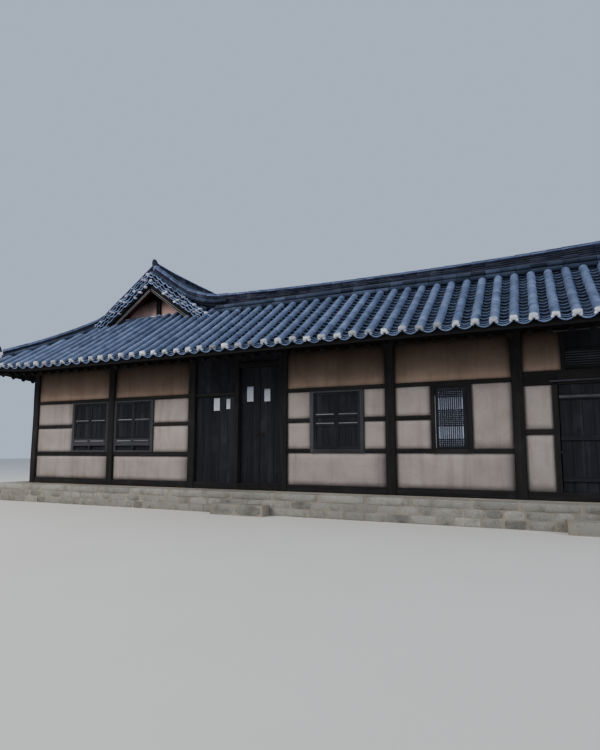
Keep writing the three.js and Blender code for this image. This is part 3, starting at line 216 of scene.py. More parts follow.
class Graph:
    """Node tree of one material, built a node at a time."""

    def __init__(self, name: str) -> None:
        """Empty tree in a new material."""
        self.material = bpy.data.materials.new(name)
        self.material.use_nodes = True
        self.tree = self.material.node_tree
        self.tree.nodes.clear()

    def add(self, kind: str, inputs: dict | None = None, **settings: object) -> bpy.types.Node:
        """Adds a node.

        Args:
            kind: Blender's name of the node.
            inputs: values or output sockets by input name or number.
            settings: the node's own properties.

        Returns:
            The new node.
        """
        node = self.tree.nodes.new(kind)
        for key, value in settings.items():
            setattr(node, key, value)
        for key, value in (inputs or {}).items():
            if isinstance(value, bpy.types.NodeSocket):
                self.tree.links.new(value, node.inputs[key])
            else:
                node.inputs[key].default_value = value
        return node

    def noise(self, vector: Socket, scale: float, detail: float, rough: float = 0.6) -> Socket:
        """Noise value over a vector."""
        inputs = {"Vector": vector, "Scale": scale, "Detail": detail, "Roughness": rough}
        return self.add("ShaderNodeTexNoise", inputs).outputs["Fac"]

    def stretch(self, vector: Socket, scale: Point) -> Socket:
        """Vector with its parts scaled."""
        inputs = {"Vector": vector, "Scale": scale}
        return self.add("ShaderNodeMapping", inputs, vector_type="POINT").outputs["Vector"]

    def ramp(self, value: Socket, low: float, high: float) -> Socket:
        """Value stretched from a range to zero and one, and held there."""
        inputs = {"Value": value, "From Min": low, "From Max": high}
        return self.add("ShaderNodeMapRange", inputs, clamp=True).outputs["Result"]

    def mix(self, share: object, first: object, second: object, blend: str = "MIX") -> Socket:
        """Mixed colour; the share is a number or a socket, and each colour a code or a socket."""
        node = self.add("ShaderNodeMix", data_type="RGBA", blend_type=blend)
        for index, value in ((0, share), (6, first), (7, second)):
            if isinstance(value, bpy.types.NodeSocket):
                self.tree.links.new(value, node.inputs[index])
            elif index == 0:
                node.inputs[index].default_value = value
            else:
                node.inputs[index].default_value = (*tint(value), 1.0)
        return node.outputs[2]

    def blot(self, base: Socket, noise: Socket, span: Span, share: float, color: str) -> Socket:
        """Colour stained where a noise runs up over a range."""
        return self.mix(self.math("MULTIPLY", self.ramp(noise, *span), share), base, color)

    def math(self, operation: str, first: object, second: object = 0.0) -> Socket:
        """Result of a sum on two values or sockets."""
        return self.add("ShaderNodeMath", {0: first, 1: second}, operation=operation).outputs[0]


@dataclass(frozen=True)
class Finish:
    """One surface finish: the colours it mixes, its roughness and its relief."""

    name: str
    pattern: Pattern
    dark: str
    light: str
    stain: str
    roughness: float = 0.85
    relief: float = 0.3
    depth: float = 0.004
    tone_share: float = 0.6
    carried: bool = False
    shine: float = 0.2
    # Heights over which the daub darkens to painted shade, or none.
    smoke: Span | None = None
    slot: str = "timber"
    smooth: float | None = 35.0

    def material(self) -> bpy.types.Material:
        """The finish's material, made once."""
        name = f"{self.name}_finish"
        return bpy.data.materials.get(name) or self.make(name)

    def make(self, name: str) -> bpy.types.Material:
        """Builds the node tree of the finish.

        Args:
            name: name of the material.

        Returns:
            The new material.
        """
        graph = Graph(name)
        if self.carried:
            place = graph.add("ShaderNodeTexCoord").outputs["Object"]
            tone = graph.noise(place, scale=0.35, detail=1.0)
        else:
            place = graph.add("ShaderNodeAttribute", attribute_name="grain").outputs["Vector"]
            tone = graph.add("ShaderNodeAttribute", attribute_name="tone").outputs["Fac"]
        builder = {
            Pattern.GRAIN: self.wood,
            Pattern.TILE: self.tile,
            Pattern.PLASTER: self.plaster,
            Pattern.STONE: self.stone,
            Pattern.PAPER: self.paper,
            Pattern.METAL: self.metal,
        }[self.pattern]
        color, height, rough = builder(graph, place, tone)
        shader = graph.add("ShaderNodeBsdfPrincipled", {"Base Color": color, "Roughness": rough})
        if self.pattern is Pattern.METAL:
            shader.inputs["Metallic"].default_value = 0.8
        shader.inputs["Specular IOR Level"].default_value = self.shine
        relief = {"Height": height, "Strength": self.relief, "Distance": self.depth}
        bump = graph.add("ShaderNodeBump", relief)
        graph.tree.links.new(bump.outputs["Normal"], shader.inputs["Normal"])
        graph.add("ShaderNodeOutputMaterial", {"Surface": shader.outputs["BSDF"]})
        return graph.material

    def roughened(self, graph: Graph, noise: Socket, swing: float) -> Socket:
        """Roughness that swings about the finish's own value."""
        low, high = self.roughness - swing, min(1.0, self.roughness + swing)
        inputs = {"Value": noise, "To Min": low, "To Max": high}
        return graph.add("ShaderNodeMapRange", inputs).outputs["Result"]

    def wood(self, graph: Graph, place: object, tone: object) -> tuple:
        """Long grain, weathering patches and a tone for each timber."""
        fibre = graph.noise(graph.stretch(place, (1.6, 42.0, 42.0)), scale=1.0, detail=5.0)
        streak = graph.noise(graph.stretch(place, (0.5, 9.0, 9.0)), scale=1.0, detail=3.0)
        patch = graph.noise(place, scale=2.2, detail=3.0)
        base = graph.mix(graph.ramp(fibre, low=0.3, high=0.72), self.dark, self.light)
        base = graph.blot(base, streak, (0.5, 0.8), share=0.55, color=self.stain)
        base = graph.blot(base, patch, (0.52, 0.8), share=0.5, color=self.stain)
        base = self.toned(graph, base, tone)
        height = graph.math("ADD", fibre, graph.math("MULTIPLY", streak, 0.8))
        return base, height, self.roughened(graph, fibre, swing=0.1)

    def tile(self, graph: Graph, place: object, tone: object) -> tuple:
        """Fired clay: cloudy grey with a blue cast of painted sky reflection, painted highlights on the rims
        and painted shade in the troughs from the tone, lichen and soot.
        """
        cloud = graph.noise(place, scale=3.0, detail=4.0)
        fleck = graph.noise(place, scale=60.0, detail=3.0)
        lichen = graph.noise(place, scale=9.0, detail=5.0, rough=0.7)
        base = graph.mix(graph.ramp(cloud, low=0.3, high=0.7), self.dark, self.light)
        base = graph.blot(base, fleck, (0.55, 0.75), share=0.25, color=self.stain)
        base = graph.blot(base, lichen, (0.58, 0.74), share=0.45, color=self.stain)
        base = self.toned(graph, base, tone)
        height = graph.math("ADD", graph.math("MULTIPLY", fleck, 0.4), lichen)
        return base, height, self.roughened(graph, cloud, swing=0.12)

    def plaster(self, graph: Graph, place: object, tone: object) -> tuple:
        """Earthy lime: trowelled clouds, rain streaks, straw flecks, hairline cracks and, where a span of
        heights is given, painted shade towards the top.
        """
        cloud = graph.noise(place, scale=1.3, detail=5.0)
        sand = graph.noise(place, scale=90.0, detail=3.0)
        streak = graph.noise(graph.stretch(place, (7.0, 7.0, 0.6)), scale=1.0, detail=4.0)
        inputs = {"Vector": place, "Scale": 1.7, "Randomness": 1.0}
        crack = graph.add("ShaderNodeTexVoronoi", inputs, feature="DISTANCE_TO_EDGE").outputs["Distance"]
        hairline = graph.math("SUBTRACT", 1.0, graph.ramp(crack, low=0.0, high=0.006))
        base = graph.mix(graph.ramp(cloud, low=0.3, high=0.7), self.dark, self.light)
        base = graph.blot(base, streak, (0.5, 0.75), share=0.5, color=self.stain)
        base = graph.blot(base, sand, (0.56, 0.7), share=0.18, color=self.stain)
        base = graph.mix(graph.math("MULTIPLY", hairline, 0.5), base, self.stain)
        base = self.toned(graph, base, tone)
        # Painted shade: the daub darkens over a span of heights towards its top, standing in for the shadow
        # under the verge.
        if self.smoke:
            height = graph.add("ShaderNodeSeparateXYZ", {
                "Vector": graph.add("ShaderNodeNewGeometry").outputs["Position"],
            }).outputs["Z"]
            wander = graph.math("ADD", height, graph.math("MULTIPLY", cloud, 0.3))
            base = graph.mix(graph.ramp(wander, *self.smoke), base, PAINTED_SHADE_COLOR)
        rough = graph.math("MULTIPLY", cloud, 2.0)
        rough = graph.math("ADD", rough, graph.math("MULTIPLY", sand, 0.35))
        height = graph.math("SUBTRACT", rough, hairline)
        return base, height, self.roughened(graph, sand, swing=0.06)

    def stone(self, graph: Graph, place: object, tone: object) -> tuple:
        """Granite: speckled crystals, weathered patches and a tone for each stone."""
        speck = graph.noise(place, scale=130.0, detail=2.0)
        patch = graph.noise(place, scale=4.0, detail=5.0)
        pit = graph.noise(place, scale=26.0, detail=4.0)
        base = graph.mix(graph.ramp(speck, low=0.4, high=0.62), self.dark, self.light)
        base = graph.blot(base, patch, (0.48, 0.72), share=0.7, color=self.stain)
        base = self.toned(graph, base, tone)
        height = graph.math("ADD", patch, graph.math("MULTIPLY", pit, 0.7))
        return base, height, self.roughened(graph, pit, swing=0.07)

    def paper(self, graph: Graph, place: object, tone: object) -> tuple:
        """Mulberry paper: soft fibres and faint yellowing."""
        fibre = graph.noise(graph.stretch(place, (90.0, 25.0, 60.0)), scale=1.0, detail=4.0)
        cloud = graph.noise(place, scale=6.0, detail=3.0)
        base = graph.mix(graph.ramp(fibre, low=0.35, high=0.65), self.dark, self.light)
        base = graph.blot(base, cloud, (0.5, 0.8), share=0.5, color=self.stain)
        return self.toned(graph, base, tone), fibre, self.roughened(graph, fibre, swing=0.04)

    def metal(self, graph: Graph, place: object, tone: object) -> tuple:
        """Forged iron with rust."""
        rust = graph.noise(place, scale=70.0, detail=5.0)
        base = graph.mix(graph.ramp(rust, low=0.45, high=0.65), self.dark, self.stain)
        return self.toned(graph, base, tone), rust, self.roughened(graph, rust, swing=0.15)

    def toned(self, graph: Graph, base: object, tone: object) -> Socket:
        """Colour made darker or paler by the tone of its own timber, tile or stone; on some pieces the tone
        also carries painted highlights and shade.
        """
        low, high = 1.0 - self.tone_share, 1.0 + self.tone_share
        factor = graph.add("ShaderNodeMapRange", {"Value": tone, "To Min": low, "To Max": high}, clamp=False)
        return graph.mix(1.0, base, factor.outputs["Result"], "MULTIPLY")


class Surfaces:
    """Every finish of the house."""

    TIMBER = Finish("old_timber", Pattern.GRAIN, "110f0f", "231f1e", "333131", roughness=0.86, relief=0.5)
    # Near-black timber for rafters, eave boards and bargeboards: painted shade of the eaves.
    SHADE_DARK_TIMBER = Finish("shade_darkened_timber", Pattern.GRAIN, "090809", "121011", "1d1b1c", roughness=0.9, relief=0.5)
    FRAME = Finish("window_frame", Pattern.GRAIN, "2c2b2d", "444346", "4b4a4d", roughness=0.86, relief=0.4)
    # Dark boards whose faint blue cast is a painted sky reflection.
    DOOR = Finish("door_board", Pattern.GRAIN, "131317", "222226", "36363b", roughness=0.88, relief=0.5)
    POLE = Finish("worn_pole", Pattern.GRAIN, "2b2a2c", "48474a", "5f5e61", roughness=0.88, relief=0.4)
    LATH = Finish("pale_lath", Pattern.GRAIN, "5c5857", "878382", "9b9897", roughness=0.88, relief=0.4)
    OCHRE = Finish("ochre_board", Pattern.GRAIN, "4c211a", "74342a", "3a2620", roughness=0.85, relief=0.4)
    FLOOR = Finish("floor_wood", Pattern.GRAIN, "5a452f", "8a7050", "6b5a45", roughness=0.6, carried=True)
    BEAM = Finish("inner_beam", Pattern.GRAIN, "2f251d", "4b3c30", "5d564d", roughness=0.8, carried=True)
    # Grey clay with a blue cast that is a painted sky reflection.
    TILE = Finish(
        "roof_tile", Pattern.TILE, "434c62", "646f87", "707786", tone_share=0.95, shine=0.06,
        slot="roof_tile", smooth=42.0,
    )
    # Dark ridge clay with a blue cast that is a painted sky reflection.
    RIDGE = Finish(
        "ridge_course", Pattern.TILE, "1a1c28", "303344", "404347", roughness=0.9, relief=0.5,
        tone_share=0.9, shine=0.05, slot="ridge_tile", smooth=None,
    )
    MORTAR = Finish(
        "ridge_mortar", Pattern.PLASTER, "2b2d35", "4b4e58", "2b2e2c", roughness=0.95, relief=0.5,
        shine=0.05, slot="ridge_tile", smooth=None,
    )
    LIME = Finish(
        "lime_plug", Pattern.PLASTER, "9ea0a6", "d2d4da", "7c7f86", roughness=0.9, relief=0.7, depth=0.01,
        tone_share=0.75, slot="wall_plaster", smooth=60.0,
    )
    VERGE = Finish(
        "verge_lime", Pattern.PLASTER, "9496a2", "d5d8e8", "5a5b65", roughness=0.92, relief=0.7, depth=0.01,
        tone_share=0.7, slot="wall_plaster", smooth=60.0,
    )
    DAUB = Finish(
        "wall_daub", Pattern.PLASTER, "877b74", "a2978f", "73665d", roughness=0.93, slot="wall_plaster",
        smooth=None,
    )
    # Upper daub, darkened towards the eave partly by smoke and partly by painted eave shade.
    SHADED_SMOKED = Finish(
        "smoked_daub", Pattern.PLASTER, "927a68", "ad937f", "7a634f", roughness=0.94, tone_share=1.0,
        slot="wall_plaster", smooth=None,
    )
    # Gable daub, darkened towards its top by painted shade.
    WING_GABLE = Finish(
        "wing_gable_daub", Pattern.PLASTER, "a08078", "bd9c92", "5e4643", roughness=0.93, relief=0.35,
        tone_share=0.2, carried=True, smoke=(5.42, 5.86),
    )
    RANGE_GABLE = Finish(
        "range_gable_daub", Pattern.PLASTER, "a08078", "bd9c92", "5e4643", roughness=0.93, relief=0.35,
        tone_share=0.2, carried=True, smoke=(4.7, 5.0),
    )
    # Near-black earth under the roof slabs: painted shade of the eaves.
    SOFFIT = Finish(
        "shaded_soffit_earth", Pattern.PLASTER, "1d1916", "28231f", "171412", roughness=0.95, relief=0.4,
        carried=True,
    )
    GRANITE = Finish(
        "base_granite", Pattern.STONE, "6b6860", "a29d92", "57544b", roughness=0.9, relief=0.5, depth=0.006,
        tone_share=0.4, slot="stone", smooth=50.0,
    )
    EARTH = Finish(
        "base_top", Pattern.PLASTER, "81796c", "9d9485", "6d6557", roughness=0.95, relief=0.4, carried=True,
    )
    PAPER = Finish(
        "window_paper", Pattern.PAPER, "b8bbca", "d6d9e8", "a9acba", roughness=0.9, relief=0.2, depth=0.001,
        tone_share=0.2, slot="window_paper", smooth=None,
    )
    SLIP = Finish(
        "paper_slip", Pattern.PAPER, "b9bcc2", "d9dbde", "a3a4a6", roughness=0.9, relief=0.2, depth=0.001,
        tone_share=0.2, slot="window_paper", smooth=None,
    )
    IRON = Finish(
        "forged_iron", Pattern.METAL, "1e1d1c", "2b2a29", "4a3327", roughness=0.6, relief=0.3, depth=0.001,
        tone_share=0.3, slot="door_boards", smooth=40.0,
    )


CHAMFER_SHARE = 0.3
STEEP = 0.9
HEWN_CAP = np.array([(0, 1, 2, 3), (0, 3, 4, 7), (4, 5, 6, 7)])


class Pile:
    """Many small meshes gathered into one piece of the house."""

    def __init__(self, seed: int, turn: Turn = Turn()) -> None:
        """Empty pile whose points are given in a turned frame."""
        self.random = np.random.default_rng(SEED * 1000 + seed)
        self.turn = turn
        self.points: list[np.ndarray] = []
        self.grains: list[np.ndarray] = []
        self.tones: list[np.ndarray] = []
        self.quads: list[np.ndarray] = []
        self.count = 0

    def add(self, points: np.ndarray, quads: np.ndarray, grain: np.ndarray, tone: object) -> None:
        """Adds one mesh.

        Args:
            points: its vertices, one row each, in the pile's frame.
            quads: its faces, four vertex numbers each; a triangle repeats its last.
            grain: for each vertex, metres along, across and through the material.
            tone: its tone, or one for each vertex; 0.5 is neutral.
        """
        flat = np.asarray(points, float).reshape(-1, 3)
        self.points.append(self.turn.to_house(flat))
        self.grains.append(np.asarray(grain, float).reshape(-1, 3))
        self.tones.append(np.broadcast_to(np.asarray(tone, float).reshape(-1), (len(flat),)))
        self.quads.append(np.asarray(quads, np.int64).reshape(-1, 4) + self.count)
        self.count += len(flat)

    def tone(self, swing: float = 0.22) -> float:
        """Random tone about the neutral one."""
        return float(np.clip(0.5 + self.random.normal(0.0, swing * 0.5), 0.1, 0.95))

    def pick(self, middle: float, swing: float, low: float = 0.0, high: float = 0.95) -> float:
        """Random value about a middle one, held between two limits."""
        return float(np.clip(self.random.normal(middle, swing), low, high))

    def offsets(self, count: int) -> np.ndarray:
        """Random places in the material, one for each grid of a sheet."""
        return self.random.uniform(-9.0, 9.0, (count, 1, 1, 3))

    def offset(self) -> np.ndarray:
        """Random place in the material, so that no two pieces show the same grain."""
        return self.random.uniform(-40.0, 40.0, 3)

    def sheet(self, points: np.ndarray, grain: np.ndarray, tone: object) -> None:
        """Adds grids of points joined into faces.

        Args:
            points: an array of many grids: grid, row, column, xyz.
            grain: the material places of the points, in the same array form.
            tone: the tones of the points, in the same array form without the last axis.
        """
        grids, rows, columns, _ = points.shape
        corner = np.arange(grids * rows * columns).reshape(grids, rows, columns)
        a, b = corner[:, :-1, :-1], corner[:, :-1, 1:]
        c, d = corner[:, 1:, 1:], corner[:, 1:, :-1]
        quads = np.stack([a, b, c, d], -1).reshape(-1, 4)
        self.add(points, quads, grain, np.broadcast_to(tone, points.shape[:3]))

    def tube(
        self, points: np.ndarray, along: np.ndarray, rings: np.ndarray, tone: float | None, cap: np.ndarray,
    ) -> None:
        """Adds rings of points joined one to the next and closed at both ends.

        Args:
            points: the vertices: ring, corner, xyz.
            along: distance of each ring from the start.
            rings: place of each corner in its section: ring, corner, two sizes.
            tone: its tone, or none for a random one.
            cap: faces that close a ring, four corner numbers each.
        """
        count, corners = points.shape[:2]
        places = np.broadcast_to(along[:, None, None], (count, corners, 1))
        grain = np.concatenate([places, rings], -1) + self.offset()
        ring = np.arange(count * corners).reshape(count, corners)
        following = np.roll(ring, -1, 1)
        skin = np.stack([ring[:-1], following[:-1], following[1:], ring[1:]], -1).reshape(-1, 4)
        quads = np.concatenate([skin, cap[:, ::-1], cap + ring[-1, 0]])
        self.add(points, quads, grain, self.tone() if tone is None else tone)

    def bar(
        self, start: Sequence[float], end: Sequence[float], across: Sequence[float],
        width: float, depth: float, bevel: float = 0.006, wobble: float = 0.0015,
        tone: float | None = None, step: float = 0.7,
    ) -> None:
        """Adds a hewn timber with chamfered edges.

        Args:
            start: middle of one end.
            end: middle of the other end.
            across: direction of its width.
            width: size along that direction.
            depth: size square to it.
            bevel: chamfer of its long edges.
            wobble: how far its faces wander from the true line.
            tone: its tone, or none for a random one.
            step: distance between its sections.
        """
        first, axis, length = heading(start, end)
        side = np.array(across, float)
        side -= axis * side.dot(axis)
        side /= np.linalg.norm(side)
        other = np.cross(axis, side)
        cut = min(bevel, width * CHAMFER_SHARE, depth * CHAMFER_SHARE)
        w, h = width / 2, depth / 2
        section = np.array([
            (w - cut, -h), (w, -h + cut), (w, h - cut), (w - cut, h),
            (-w + cut, h), (-w, h - cut), (-w, -h + cut), (-w + cut, -h),
        ])
        stations = max(2, int(length / step) + 2)
        along = np.linspace(0.0, length, stations)
        wander = self.random.normal(0.0, wobble, (stations, 1, 2))
        wander[[0, -1]] = 0.0
        rings = section[None] + wander
        points = first + along[:, None, None] * axis + rings[..., :1] * side + rings[..., 1:] * other
        self.tube(points, along, rings, tone, HEWN_CAP)

    def run(
        self, path: np.ndarray, across: Sequence[float] | np.ndarray, width: float, depth: float | np.ndarray,
        bevel: float = 0.004, tone: float | None = None, wobble: float = 0.0,
    ) -> None:
        """Adds a member that follows a line, with upright sides.

        Args:
            path: points of its middle line, one row each.
            across: direction of its width, one for all points or one for each.
            width: size along that direction.
            depth: its height, one for all points or one for each.
            bevel: chamfer of its edges.
            tone: its tone, or none for a random one.
            wobble: how far its faces wander from the true line.
        """
        count = len(path)
        sides = np.broadcast_to(np.array(across, float).reshape(-1, 3), (count, 3))
        sides = sides / np.linalg.norm(sides, axis=1, keepdims=True)
        up = np.array([0.0, 0.0, 1.0])
        tall = np.broadcast_to(np.asarray(depth, float), (count,))
        cut = min(bevel, width * CHAMFER_SHARE, float(tall.min()) * CHAMFER_SHARE)
        w, h = width / 2, tall / 2
        x = np.array([w - cut, w, w, w - cut, cut - w, -w, -w, cut - w])
        sign = np.array([-1, -1, 1, 1, 1, 1, -1, -1])
        drawn = np.array([0, 1, 1, 0, 0, 1, 1, 0]) * cut
        rings = joined(x, sign * (h[:, None] - drawn))
        rings = rings + self.random.normal(0.0, 1.0, (count, 1, 2)) * wobble
        points = path[:, None] + rings[..., :1] * sides[:, None] + rings[..., 1:] * up
        along = np.concatenate([[0.0], np.cumsum(np.linalg.norm(np.diff(path, axis=0), axis=1))])
        self.tube(points, along, rings, tone, HEWN_CAP)

    def timber(self, x: Span, y: Span, z: Span, **options: object) -> None:
        """Adds a timber that fills a box, with its grain along the longest side."""
        spans = np.array([x, y, z], float)
        size = spans[:, 1] - spans[:, 0]
        middle = spans.mean(1)
        long = int(np.argmax(size))
        wide, deep = [i for i in range(3) if i != long]
        start, end, across = middle.copy(), middle.copy(), np.zeros(3)
        start[long], end[long] = spans[long]
        across[wide] = 1.0
        self.bar(start, end, across, size[wide], size[deep], **options)

    def boards(self, x: Span, y: Span, z: Span, width: float, gap: float = 0.003, **options: object) -> None:
        """Adds upright boards side by side over a span."""
        count = max(1, round((x[1] - x[0]) / width))
        edges = np.linspace(x[0], x[1], count + 1)
        for left, right in zip(edges[:-1], edges[1:]):
            self.timber((left + gap / 2, right - gap / 2), y, z, bevel=0.003, wobble=0.0008, **options)

    def rod(
        self, start: Sequence[float], end: Sequence[float], radius: float, sides: int = 12,
        tone: float | None = None, taper: float = 1.0, stations: int = 3, wobble: float = 0.002,
    ) -> None:
        """Adds a round log or pin between two points, closed at both ends."""
        first, axis, length = heading(start, end)
        steep = abs(axis[2]) >= STEEP
        side = np.cross((1.0, 0.0, 0.0) if steep else (0.0, 0.0, 1.0), axis)
        side /= np.linalg.norm(side)
        other = np.cross(axis, side)
        angle = np.linspace(0.0, 2 * math.pi, sides, endpoint=False)
        share = np.linspace(0.0, 1.0, stations)
        radii = radius * (1.0 + (taper - 1.0) * share)[:, None]
        radii = radii + self.random.normal(0.0, wobble, (stations, 1))
        ring = np.stack([np.cos(angle) * radii, np.sin(angle) * radii], -1)
        along = share * length
        points = first + along[:, None, None] * axis + ring[..., :1] * side + ring[..., 1:] * other
        fans = [(0, 2 * i + 1, 2 * i + 2, 2 * i + 3) for i in range((sides - 2) // 2)]
        self.tube(points, along, ring, self.tone() if tone is None else tone, np.array(fans))

    def lump(
        self, middle: Sequence[float], size: Sequence[float], power: float, rough: float, steps: int = 3,
        tone: float | None = None,
    ) -> None:
        """Adds a rounded block, such as a stone or a lump of lime.

        Args:
            middle: its middle.
            size: its full size along x, y and z.
            power: 2 gives an egg, and higher powers a squarer block.
            rough: how far its surface strays, as a share of its size.
            steps: faces along each edge.
            tone: its tone, or none for a random one.
        """
        cube, quads = cube_grid(steps)
        norm = (np.abs(cube) ** power).sum(1) ** (1 / power)
        shape = cube / norm[:, None]
        stray = 1.0 + self.random.normal(0.0, rough, (len(cube), 1))
        half = np.array(size) / 2
        points = np.array(middle) + shape * stray * half
        value = self.tone(0.35) if tone is None else tone
        self.add(points, quads, points + self.offset(), value)

    def make(
        self, name: str, finish: Finish, body: str = HOUSE, replaces: Iterable[str] = (),
        slot: str = "", smooth: float | None = None,
    ) -> None:
        """Turns the pile into a piece of the house.

        Args:
            name: name of the piece.
            finish: its surface finish.
            body: the body that it rides on.
            replaces: nodes that it stands for.
            slot: the record's material slot, where it isn't the finish's own; not used.
            smooth: angle in degrees for smooth shading, where it isn't the finish's own.
        """
        slot = slot or finish.slot
        smooth = smooth or finish.smooth
        points = np.concatenate(self.points)
        quads = np.concatenate(self.quads)
        three = quads[:, 2] == quads[:, 3]
        totals = np.where(three, 3, 4).astype(np.int32)
        keep = np.ones(quads.shape, bool)
        keep[three, 3] = False
        loops = quads[keep].astype(np.int32)
        mesh = bpy.data.meshes.new(name)
        mesh.vertices.add(len(points))
        mesh.vertices.foreach_set("co", points.astype(np.float32).ravel())
        mesh.loops.add(len(loops))
        mesh.loops.foreach_set("vertex_index", loops)
        mesh.polygons.add(len(totals))
        starts = np.concatenate([[0], np.cumsum(totals)[:-1]]).astype(np.int32)
        mesh.polygons.foreach_set("loop_start", starts)
        mesh.polygons.foreach_set("loop_total", totals)
        grain = mesh.attributes.new("grain", "FLOAT_VECTOR", "POINT")
        grain.data.foreach_set("vector", np.concatenate(self.grains).astype(np.float32).ravel())
        tone = mesh.attributes.new("tone", "FLOAT", "POINT")
        tone.data.foreach_set("value", np.concatenate(self.tones).astype(np.float32))
        mesh.update(calc_edges=True)
        mesh.validate()
        if smooth:
            mesh.polygons.foreach_set("use_smooth", np.ones(len(mesh.polygons), bool))
            mesh.set_sharp_from_angle(angle=math.radians(smooth))
        mesh.materials.append(finish.material())
        piece = bpy.data.objects.new(name, mesh)
        bpy.context.scene.collection.objects.link(piece)
        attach(piece, body)
        if replaces:
            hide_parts(*replaces)
        logging.info("%s: %d faces", name, int(totals.sum() - 2 * len(totals)))


CUBES: dict[int, tuple[np.ndarray, np.ndarray]] = {}


def cube_grid(steps: int) -> tuple[np.ndarray, np.ndarray]:
    """Points on a cube's skin and the quads between them, shared along its edges."""
    if steps in CUBES:
        return CUBES[steps]
    numbers: dict[tuple[int, int, int], int] = {}
    quads = []

    def number(key: tuple[int, int, int]) -> int:
        """Vertex number of a lattice place."""
        return numbers.setdefault(key, len(numbers))

    for axis in range(3):
        u, v = (axis + 1) % 3, (axis + 2) % 3
        for side in (0, steps):
            for i in range(steps):
                for j in range(steps):
                    ring = []
                    for a, b in ((i, j), (i + 1, j), (i + 1, j + 1), (i, j + 1)):
                        key = [0, 0, 0]
                        key[axis], key[u], key[v] = side, a, b
                        ring.append(number(tuple(key)))
                    quads.append(ring if side else ring[::-1])
    points = np.array(list(numbers), float) / steps * 2 - 1
    CUBES[steps] = (points, np.array(quads))
    return CUBES[steps]


@dataclass(frozen=True)
class Slope:
    """One roof slope in its own frame: x is u along the eave, y is d up the slope."""

    name: str
    outline: tuple[Span, ...]
    rafter_outline: tuple[Span, ...]
    turn: Turn
    eave: float
    rafter_span: float
    depth: float
    lift_start: bool = True
    lift_end: bool = True
    phase: float | None = None
    ridge_from: float | None = None

    def lift(self, u: np.ndarray) -> np.ndarray:
        """Rise of the eave towards its hip corners."""
        total = np.zeros_like(np.asarray(u, float))
        for lifted, distance in ((self.lift_start, u), (self.lift_end, self.eave - u)):
            if lifted:
                share = np.clip(1.0 - np.clip(distance, 0.0, None) / LIFT_REACH, 0.0, None)
                total = total + CORNER_LIFT * share ** 2
        return total

    def bed(self, u: np.ndarray, d: np.ndarray) -> np.ndarray:
        """Height of the tile bed."""
        return roof_top(d) + self.lift(u)

    def under(self, u: np.ndarray, d: np.ndarray) -> np.ndarray:
        """Height of the underside of the slab."""
        return roof_under(d) + self.lift(u)

    def lay(self, u: np.ndarray, d: np.ndarray, h: np.ndarray) -> np.ndarray:
        """Points at a height square to the slope over places on its bed."""
        pitch = SLOPE + 2 * CURVE * d
        shrink = 1.0 / np.sqrt(1.0 + pitch ** 2)
        u, d, h, pitch, shrink = np.broadcast_arrays(u, d, h, pitch, shrink)
        return np.stack([u, d - h * pitch * shrink, self.bed(u, d) + h * shrink], -1)

    def reach(self, u: float, outline: Sequence[Span] | None = None) -> Span | None:
        """Lowest and highest d of an outline at one u, or none where it has none."""
        corners = list(outline or self.outline)
        found = []
        for (u0, d0), (u1, d1) in zip(corners, corners[1:] + corners[:1]):
            if u0 != u1 and min(u0, u1) <= u <= max(u0, u1):
                found.append(d0 + (d1 - d0) * (u - u0) / (u1 - u0))
        return (min(found), max(found)) if len(found) > 1 else None


def roof_top(d: np.ndarray) -> np.ndarray:
    """Height of the tile bed at a distance from its eave."""
    return EAVE_TOP + SLOPE * d + CURVE * d * d


def roof_under(d: np.ndarray) -> np.ndarray:
    """Height of the underside of the roof slab at a distance from its eave."""
    lower = np.minimum(d, RANGE_HALF)
    return EAVE_TOP - SLAB_DROP + LOWER_PITCH * lower + UPPER_PITCH * (d - lower)


def corner_lift(from_corner: float) -> float:
    """Rise of a hip at a distance from its corner."""
    return CORNER_LIFT * max(0.0, 1.0 - from_corner / LIFT_REACH) ** 2


